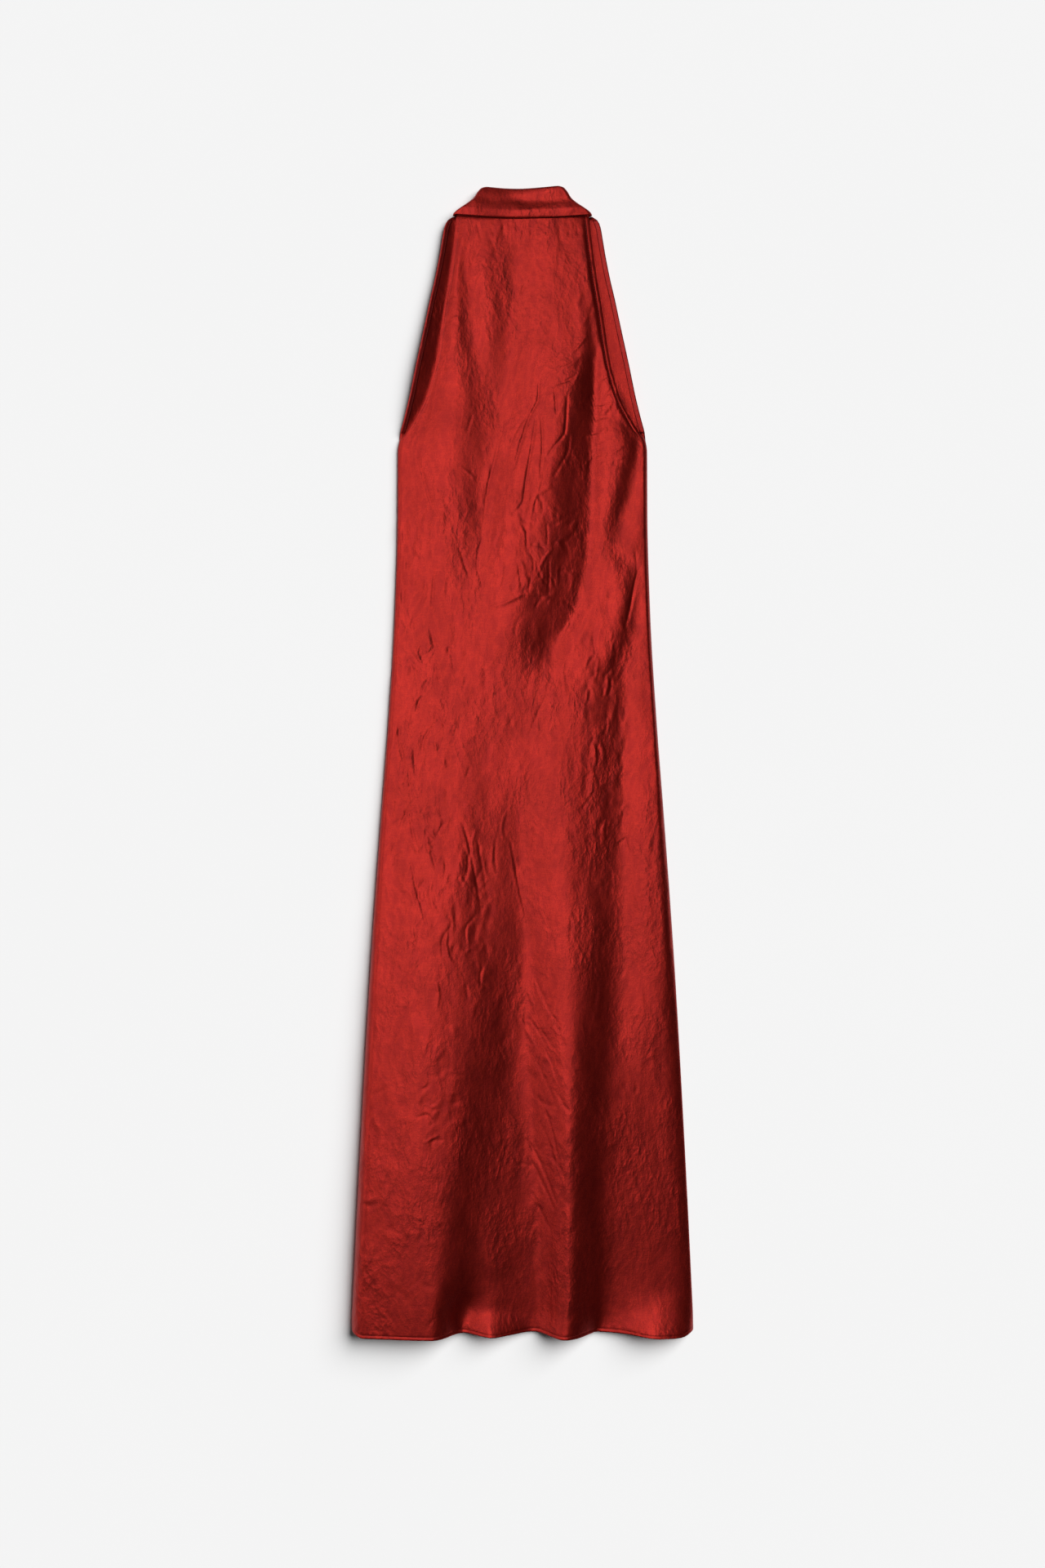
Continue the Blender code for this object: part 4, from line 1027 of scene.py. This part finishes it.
def ring_mesh(name, rings):
    """Mesh of rings of points, each joined to the next, with its ends closed."""
    rings = np.array(rings)
    count, sides = rings.shape[:2]
    faces = [(i * sides + j, i * sides + (j + 1) % sides,
              (i + 1) * sides + (j + 1) % sides, (i + 1) * sides + j)
             for i in range(count - 1) for j in range(sides)]
    faces += [tuple(reversed(range(sides))), tuple(range((count - 1) * sides, count * sides))]
    mesh = bpy.data.meshes.new(name)
    mesh.from_pydata((rings.reshape(-1, 3) * MM).tolist(), [], faces)
    mesh.shade_smooth()
    return mesh


def make_closure(finish):
    """The covered button and the sewn loop that close the collar behind."""
    low, high = (np.array(corner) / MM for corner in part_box("neck_button"))
    middle, head, depth = (low + high) / 2, (high[0] - low[0]) / 2, high[2] - low[2]
    around = np.radians(np.arange(BUTTON_SIDES) * 360 / BUTTON_SIDES)
    rings = []
    for share, rise, gather in BUTTON_PROFILE:
        radius = head * share * (1 + gather * np.cos(BUTTON_GATHERS * around))
        rings.append(np.stack([middle[0] + radius * np.cos(around),
                               middle[1] + radius * np.sin(around),
                               np.full(len(around), low[2] + depth * rise)], -1))
    show("neck_button_cover", ring_mesh("neck_button_cover", rings), satin(finish),
         "button_satin", "neck_button")

    low, high = (np.array(corner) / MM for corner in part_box("neck_loop"))
    cord = (high[2] - low[2]) / 2
    ring = (high[1] - low[1]) / 2 - cord
    bend = np.radians(np.linspace(90, -90, LOOP_STEPS))
    route = np.stack([high[0] - cord - ring + ring * np.cos(bend),
                      (low[1] + high[1]) / 2 + ring * np.sin(bend)], -1)
    ends = [(share * low[0] + (1 - share) * route[0][0], 1 - share)
            for share in np.linspace(1, 0.1, LOOP_STEPS // 2)]
    route = np.array([(x, route[0][1]) for x, _ in ends] + route.tolist()
                     + [(x, route[-1][1]) for x, _ in reversed(ends)])
    along = np.gradient(route, axis=0)
    along /= np.linalg.norm(along, axis=1)[:, None]
    around = np.radians(np.arange(LOOP_SIDES) * 360 / LOOP_SIDES)
    rings = [np.stack([x - way[1] * cord * np.cos(around), y + way[0] * cord * np.cos(around),
                       (low[2] + high[2]) / 2 + cord * np.sin(around)], -1)
             for (x, y), way in zip(route, along)]
    show("neck_loop_cord", ring_mesh("neck_loop_cord", rings), satin(finish),
         "loop_cord", "neck_loop")


# ---------------------------------------------------------------- materials

class Nodes:
    """Short way to add nodes to a material."""

    def __init__(self, name):
        self.material = bpy.data.materials.new(name)
        self.material.use_nodes = True
        self.tree = self.material.node_tree
        self.shader = self.tree.nodes["Principled BSDF"]

    def put(self, socket, value):
        """Set a socket, or link it to the output that is given."""
        if isinstance(value, bpy.types.NodeSocket):
            self.tree.links.new(value, socket)
        else:
            socket.default_value = value

    def add(self, kind, output, inputs, **settings):
        """Add a node with its inputs by name or place, and return one of its outputs."""
        node = self.tree.nodes.new("ShaderNode" + kind)
        for name, value in settings.items():
            setattr(node, name, value)
        for name, value in inputs.items():
            self.put(node.inputs[name], value)
        return node.outputs[output]

    def math(self, operation, *values):
        """Add a Math node on one to three values."""
        return self.add("Math", 0, dict(enumerate(values)), operation=operation)

    def spread(self, value, low, high, to_low=0.0, to_high=1.0):
        """Map a value smoothly from one range to another."""
        return self.add("MapRange", "Result", {
            "Value": value, 1: low, 2: high, 3: to_low, 4: to_high},
            interpolation_type="SMOOTHSTEP")

    def mix(self, share, a, b):
        """Mix two colours."""
        return self.add("Mix", 2, {0: share, 6: a, 7: b}, data_type="RGBA")

    def millimetres(self):
        """The piece's own coordinates, in millimetres."""
        object_space = self.add("TexCoord", "Object", {})
        return self.add("VectorMath", 0, {0: object_space, "Scale": 1 / MM}, operation="SCALE")

    def set(self, **values):
        """Set plain inputs of the shader by name, with _ for a space."""
        for name, value in values.items():
            self.shader.inputs[name.replace("_", " ")].default_value = value

    def place(self, coordinates, size, turn=0.0):
        """Coordinates, in millimetres, divided by a pattern's size and turned."""
        turned = self.add("VectorRotate", 0, {
            "Vector": coordinates, "Angle": math.radians(turn)}, rotation_type="Z_AXIS")
        return self.add("VectorMath", 0, {
            0: turned, 1: [1 / s for s in size]}, operation="MULTIPLY")

    def noise(self, coordinates, size, turn=0.0, detail=2.0, output="Fac"):
        """Smooth noise with cells of a given size in millimetres."""
        return self.add("TexNoise", output, {
            "Vector": self.place(coordinates, size, turn), "Scale": 1.0, "Detail": detail})

    def ridges(self, coordinates, size, turn, detail):
        """Sharp branching ridges whose larger cells have a given size in millimetres."""
        return self.add("TexNoise", "Fac", {
            "Vector": self.place(coordinates, size, turn), "Scale": 1.0, "Detail": detail,
            "Roughness": 0.55, "Lacunarity": 2.1, "Offset": 1.0, "Gain": 1.6},
            noise_type="RIDGED_MULTIFRACTAL", normalize=False)

    def facets(self, coordinates, size, turn):
        """Creased facets of a given size in millimetres."""
        return self.add("TexVoronoi", "Distance", {
            "Vector": self.place(coordinates, size, turn), "Scale": 1.0})


def satin(finish, inside=False):
    """Crinkled satin, with painted light and shade on its crinkle lines; its inside, as on the
    facings, is duller.
    """
    name = "satin_inside" if inside else "crinkled_satin"
    if name in bpy.data.materials:
        return bpy.data.materials[name]
    m = Nodes(name)
    place = m.millimetres()
    wander = m.noise(place, (38, 60, 38), output="Color")
    wander = m.add("VectorMath", 0, {0: wander, 1: (0.5, 0.5, 0.5)}, operation="SUBTRACT")
    wander = m.add("VectorMath", 0, {0: wander, "Scale": 16.0}, operation="SCALE")
    warped = m.add("VectorMath", 0, {0: place, 1: wander}, operation="ADD")
    density = m.spread(m.noise(place, (60, 85, 60), detail=1.0), 0.38, 0.66, 0.35, 1.0)

    facets = m.math("ADD", m.math("MULTIPLY", m.facets(warped, (12, 22, 12), 12), 0.34),
                    m.math("MULTIPLY", m.facets(warped, (5.5, 8, 5.5), -20), 0.29))
    facets = m.math("ADD", facets, m.math("MULTIPLY", m.facets(place, (2.8, 3.8, 2.8), 35), 0.12))
    ridges = m.ridges(warped, (20, 40, 20), -8, detail=3.5)
    crumple = m.math("ADD", facets, m.math("MULTIPLY", ridges, 0.30))
    lines = m.ridges(warped, (8, 22, 8), 8, detail=2.0)
    crumple = m.math("ADD", crumple, m.math("MULTIPLY", lines, 0.13))
    crumple = m.math("MULTIPLY", crumple, density)

    slub = m.noise(place, (9, 1.1, 9), detail=2.0)
    warp = m.noise(place, (1.0, 7, 1.0), detail=2.0)
    grain = m.noise(place, (1.3, 1.3, 1.3), detail=3.0)
    weave = m.math("ADD", m.math("MULTIPLY", slub, 0.03), m.math("MULTIPLY", warp, 0.04))
    weave = m.math("ADD", weave, m.math("MULTIPLY", grain, 0.085))

    height = m.math("ADD", crumple, weave)
    bump = m.add("Bump", 0, {"Height": height, "Distance": MM, "Strength": 1.0})
    m.put(m.shader.inputs["Normal"], bump)

    # The colour mixes deep and light satin by the weave's random tone and by painted shade: the
    # crinkle lines that also shape the bump are painted lighter on their ridges and darker between
    # them.
    weave_tone_and_painted_crinkle_shade = m.math("ADD", m.math("MULTIPLY", grain, 0.46), m.math("MULTIPLY", slub, 0.30))
    weave_tone_and_painted_crinkle_shade = m.math("ADD", weave_tone_and_painted_crinkle_shade, m.math("MULTIPLY", m.spread(lines, 0.2, 2.0), 0.16))
    weave_tone_and_painted_crinkle_shade = m.spread(weave_tone_and_painted_crinkle_shade, 0.3, 0.7)
    light = finish.facing if inside else finish.satin
    m.put(m.shader.inputs["Base Color"], m.mix(weave_tone_and_painted_crinkle_shade, (*finish.satin_deep, 1), (*light, 1)))
    rough = m.noise(place, (24, 50, 24), detail=2.0)
    m.put(m.shader.inputs["Roughness"],
          m.spread(rough, 0.25, 0.75, finish.roughness - 0.04, finish.roughness + 0.05))
    m.set(Metallic=finish.metallic, Coat_Weight=0.10, Coat_Roughness=0.45,
          Sheen_Weight=0.05, Sheen_Roughness=0.4, Sheen_Tint=(1.0, 0.45, 0.42, 1))
    return m.material


def thread_material(finish):
    """Polyester sewing thread, with its twist."""
    if "sewing_thread" in bpy.data.materials:
        return bpy.data.materials["sewing_thread"]
    m = Nodes("sewing_thread")
    place = m.millimetres()
    twist = m.noise(place, (0.5, 0.9, 0.5), turn=35)
    m.put(m.shader.inputs["Base Color"],
          m.mix(twist, (*finish.satin_deep, 1), (*finish.thread, 1)))
    m.put(m.shader.inputs["Normal"], m.add(
        "Bump", 0, {"Height": m.math("MULTIPLY", twist, 0.1), "Distance": MM}))
    m.set(Roughness=0.5)
    return m.material


# ---------------------------------------------------------------- studio

def area_light(name, place, size, energy):
    """A soft rectangular light that faces the dress, its length along the dress."""
    data = bpy.data.lights.new(name, "AREA")
    data.shape = "RECTANGLE"
    data.size, data.size_y = size
    data.energy = energy
    lamp = bpy.data.objects.new(name, data)
    lamp.location = place
    back = lamp.location.normalized()
    across = Vector((0, 1, 0)).cross(back).normalized()
    lamp.rotation_euler = Matrix((across, back.cross(across), back)).transposed().to_euler()
    collection("Studio").objects.link(lamp)
    return lamp


def make_floor(studio):
    """A plain pale floor."""
    reach = studio.floor_reach
    mesh = bpy.data.meshes.new("floor")
    corners = [(x * reach, y * reach, 0) for x, y in ((-1, -1), (1, -1), (1, 1), (-1, 1))]
    mesh.from_pydata(corners, [], [(0, 1, 2, 3)])
    floor = bpy.data.objects.new("floor", mesh)
    collection("Studio").objects.link(floor)
    m = Nodes("floor_paint")
    object_space = m.add("TexCoord", "Object", {})
    mottle = m.noise(object_space, (0.4, 0.4, 0.4), detail=3.0)
    tint = [c * 0.985 for c in studio.floor]
    m.put(m.shader.inputs["Base Color"], m.mix(mottle, (*tint, 1), (*studio.floor, 1)))
    m.set(Roughness=0.9, Specular_IOR_Level=0.1)
    mesh.materials.append(m.material)


def make_studio(studio):
    """Floor, soft lights and a camera straight above the dress."""
    make_floor(studio)
    scene = bpy.context.scene
    world = bpy.data.worlds.new("studio_air")
    world.use_nodes = True
    sky = world.node_tree.nodes["Background"].inputs
    sky["Color"].default_value = (1, 1, 1, 1)
    sky["Strength"].default_value = studio.ambient
    scene.world = world
    for lamp in (area_light("key_softbox", (-0.4, 0.35, 2.0), (1.2, 2.8), studio.key),
                 area_light("side_softbox", (-1.7, 0.35, 1.0), (1.2, 3.0), studio.side)):
        lamp.light_linking.receiver_collection = collection("Dress")
    fill = bpy.data.lights.new("floor_light", "SUN")
    fill.energy = studio.floor_light
    fill.angle = math.radians(50)
    lamp = bpy.data.objects.new("floor_light", fill)
    lamp.rotation_euler = Vector((-1.5, -1.2, -1.6)).to_track_quat("-Z", "Y").to_euler()
    collection("Studio").objects.link(lamp)
    lamp.light_linking.receiver_collection = collection("Studio")
    data = bpy.data.cameras.new("camera")
    camera = bpy.data.objects.new("camera", data)
    camera.location = (0, studio.camera_offset, studio.camera_height)
    data.sensor_width = 36
    data.lens = data.sensor_width * studio.camera_height / studio.frame_length
    collection("Studio").objects.link(camera)
    scene.camera = camera
    scene.view_settings.view_transform = "Standard"


# ---------------------------------------------------------------- settings

def size(name, description, default, **more):
    """A size in millimetres."""
    return FloatProperty(name=name, description=description, default=default, min=0, **more)


def colour(name, description, default):
    """A colour, in linear RGB."""
    return FloatVectorProperty(name=name, description=description, default=default,
                               min=0, max=1, subtype="COLOR")


class DressCloth(bpy.types.PropertyGroup):
    """Sizes of the sewing, in millimetres."""
    crumple: FloatProperty(name="Crumple", description="Share of the creases' full depth",
                           default=1.0, min=0, max=2, subtype="FACTOR")
    armhole_turn: size("Armhole turning", "Width turned under at an armhole", 5.0)
    hem_turn: size("Hem turning", "Width turned under at the hem", 4.5)
    hem_stitch: size("Hem stitching", "Distance of the stitching from the hem", 3.6)
    stitch_length: size("Stitch length", "Length of one stitch", 2.3)
    stitch_gap: size("Stitch gap", "Gap between two stitches", 0.7)
    stitch_width: size("Stitch width", "Width of the thread", 0.45)
    collar_wall: size("Collar wall", "Thickness of the interlined collar", 1.6)


class DressFinish(bpy.types.PropertyGroup):
    """Colours and gloss."""
    # Satin and deep satin are also the painted highlight and painted shade of the crinkle lines.
    satin: colour("Satin", "The satin where its yarns lie flat", (0.41, 0.0165, 0.0085))
    satin_deep: colour("Deep satin", "The satin between its yarns", (0.29, 0.0090, 0.0065))
    facing: colour("Facing", "The inside of the satin, on the facings", (0.34, 0.022, 0.018))
    thread: colour("Thread", "Sewing thread", (0.28, 0.015, 0.010))
    roughness: FloatProperty(name="Roughness", description="Roughness of the satin",
                             default=0.45, min=0, max=1, subtype="FACTOR")
    metallic: FloatProperty(name="Lustre", description="How metallic the satin's sheen is",
                            default=0.88, min=0, max=1, subtype="FACTOR")


class DressStudio(bpy.types.PropertyGroup):
    """Stage, light and camera."""
    floor: colour("Floor", "Colour of the floor", (0.86, 0.86, 0.86))
    floor_reach: FloatProperty(name="Floor reach", description="Half the floor's side",
                               default=6.0, min=1, unit="LENGTH")
    key: FloatProperty(name="Key light", description="Power of the softbox overhead",
                       default=29.0, min=0, unit="POWER")
    side: FloatProperty(name="Side light", description="Power of the low softbox on the left",
                        default=20.0, min=0, unit="POWER")
    floor_light: FloatProperty(name="Floor light", description="Strength of the light on the floor",
                               default=5.0, min=0)
    ambient: FloatProperty(name="Ambient", description="Strength of the light all round",
                           default=0.045, min=0)
    camera_height: FloatProperty(name="Camera height", description="Height of the camera",
                                 default=2.2, min=0.5, unit="LENGTH")
    camera_offset: FloatProperty(name="Camera offset", description="Camera towards the collar",
                                 default=-0.028, unit="LENGTH")
    frame_length: FloatProperty(name="Frame length", description="Length of floor in the picture",
                                default=1.92, min=0.1, unit="LENGTH")


# ---------------------------------------------------------------- operators

class DressOperator:
    """What the dress's operators share."""
    bl_options = {"REGISTER", "UNDO"}

    @staticmethod
    def settings(context):
        """The three groups of settings."""
        scene = context.scene
        return scene.dress_cloth, scene.dress_finish, scene.dress_studio


class DRESS_OT_front(DressOperator, bpy.types.Operator):
    """Build the front panel with its folds, creases and stitched edges"""
    bl_idname = "dress.front"
    bl_label = "Front"

    def execute(self, context):
        cloth, finish, _ = self.settings(context)
        make_front(cloth, finish)
        return {"FINISHED"}


class DRESS_OT_back(DressOperator, bpy.types.Operator):
    """Build the back panel with its slit"""
    bl_idname = "dress.back"
    bl_label = "Back"

    def execute(self, context):
        _, finish, _ = self.settings(context)
        make_back(finish)
        return {"FINISHED"}


class DRESS_OT_facings(DressOperator, bpy.types.Operator):
    """Build the armhole facings and their stitching"""
    bl_idname = "dress.facings"
    bl_label = "Armhole facings"

    def execute(self, context):
        cloth, finish, _ = self.settings(context)
        make_facings(cloth, finish)
        return {"FINISHED"}


class DRESS_OT_collar(DressOperator, bpy.types.Operator):
    """Build both halves of the collar"""
    bl_idname = "dress.collar"
    bl_label = "Collar"

    def execute(self, context):
        cloth, finish, _ = self.settings(context)
        make_collar(cloth, finish)
        return {"FINISHED"}


class DRESS_OT_closure(DressOperator, bpy.types.Operator):
    """Build the button and the loop behind the collar"""
    bl_idname = "dress.closure"
    bl_label = "Closure"

    def execute(self, context):
        _, finish, _ = self.settings(context)
        make_closure(finish)
        return {"FINISHED"}


class DRESS_OT_studio(DressOperator, bpy.types.Operator):
    """Build the floor, lights and camera"""
    bl_idname = "dress.studio"
    bl_label = "Studio"

    def execute(self, context):
        _, _, studio = self.settings(context)
        make_studio(studio)
        return {"FINISHED"}


OPERATORS = (DRESS_OT_front, DRESS_OT_back, DRESS_OT_facings, DRESS_OT_collar,
             DRESS_OT_closure, DRESS_OT_studio)


class DRESS_PT_panel(bpy.types.Panel):
    """Lists the steps and settings of the dress"""
    bl_idname = "DRESS_PT_panel"
    bl_label = "Laid-out satin dress"
    bl_space_type = "VIEW_3D"
    bl_region_type = "UI"
    bl_category = "Dress"

    def draw(self, context):
        layout = self.layout
        for operator in OPERATORS:
            layout.operator(operator.bl_idname)
        for group in DressOperator.settings(context):
            box = layout.box()
            for name in group.bl_rna.properties.keys():
                if name not in ("rna_type", "name"):
                    box.prop(group, name)


GROUPS = {"dress_cloth": DressCloth, "dress_finish": DressFinish, "dress_studio": DressStudio}


def register():
    for group in GROUPS.values():
        bpy.utils.register_class(group)
    for name, group in GROUPS.items():
        setattr(bpy.types.Scene, name, PointerProperty(type=group))
    for operator in OPERATORS:
        bpy.utils.register_class(operator)
    bpy.utils.register_class(DRESS_PT_panel)


def unregister():
    bpy.utils.unregister_class(DRESS_PT_panel)
    for operator in reversed(OPERATORS):
        bpy.utils.unregister_class(operator)
    for name, group in reversed(GROUPS.items()):
        delattr(bpy.types.Scene, name)
        bpy.utils.unregister_class(group)


def main():
    """Build everything."""
    register()
    for operator in OPERATORS:
        name = operator.bl_idname.split(".")[1]
        getattr(bpy.ops.dress, name)()


if __name__ == "__main__":
    main()
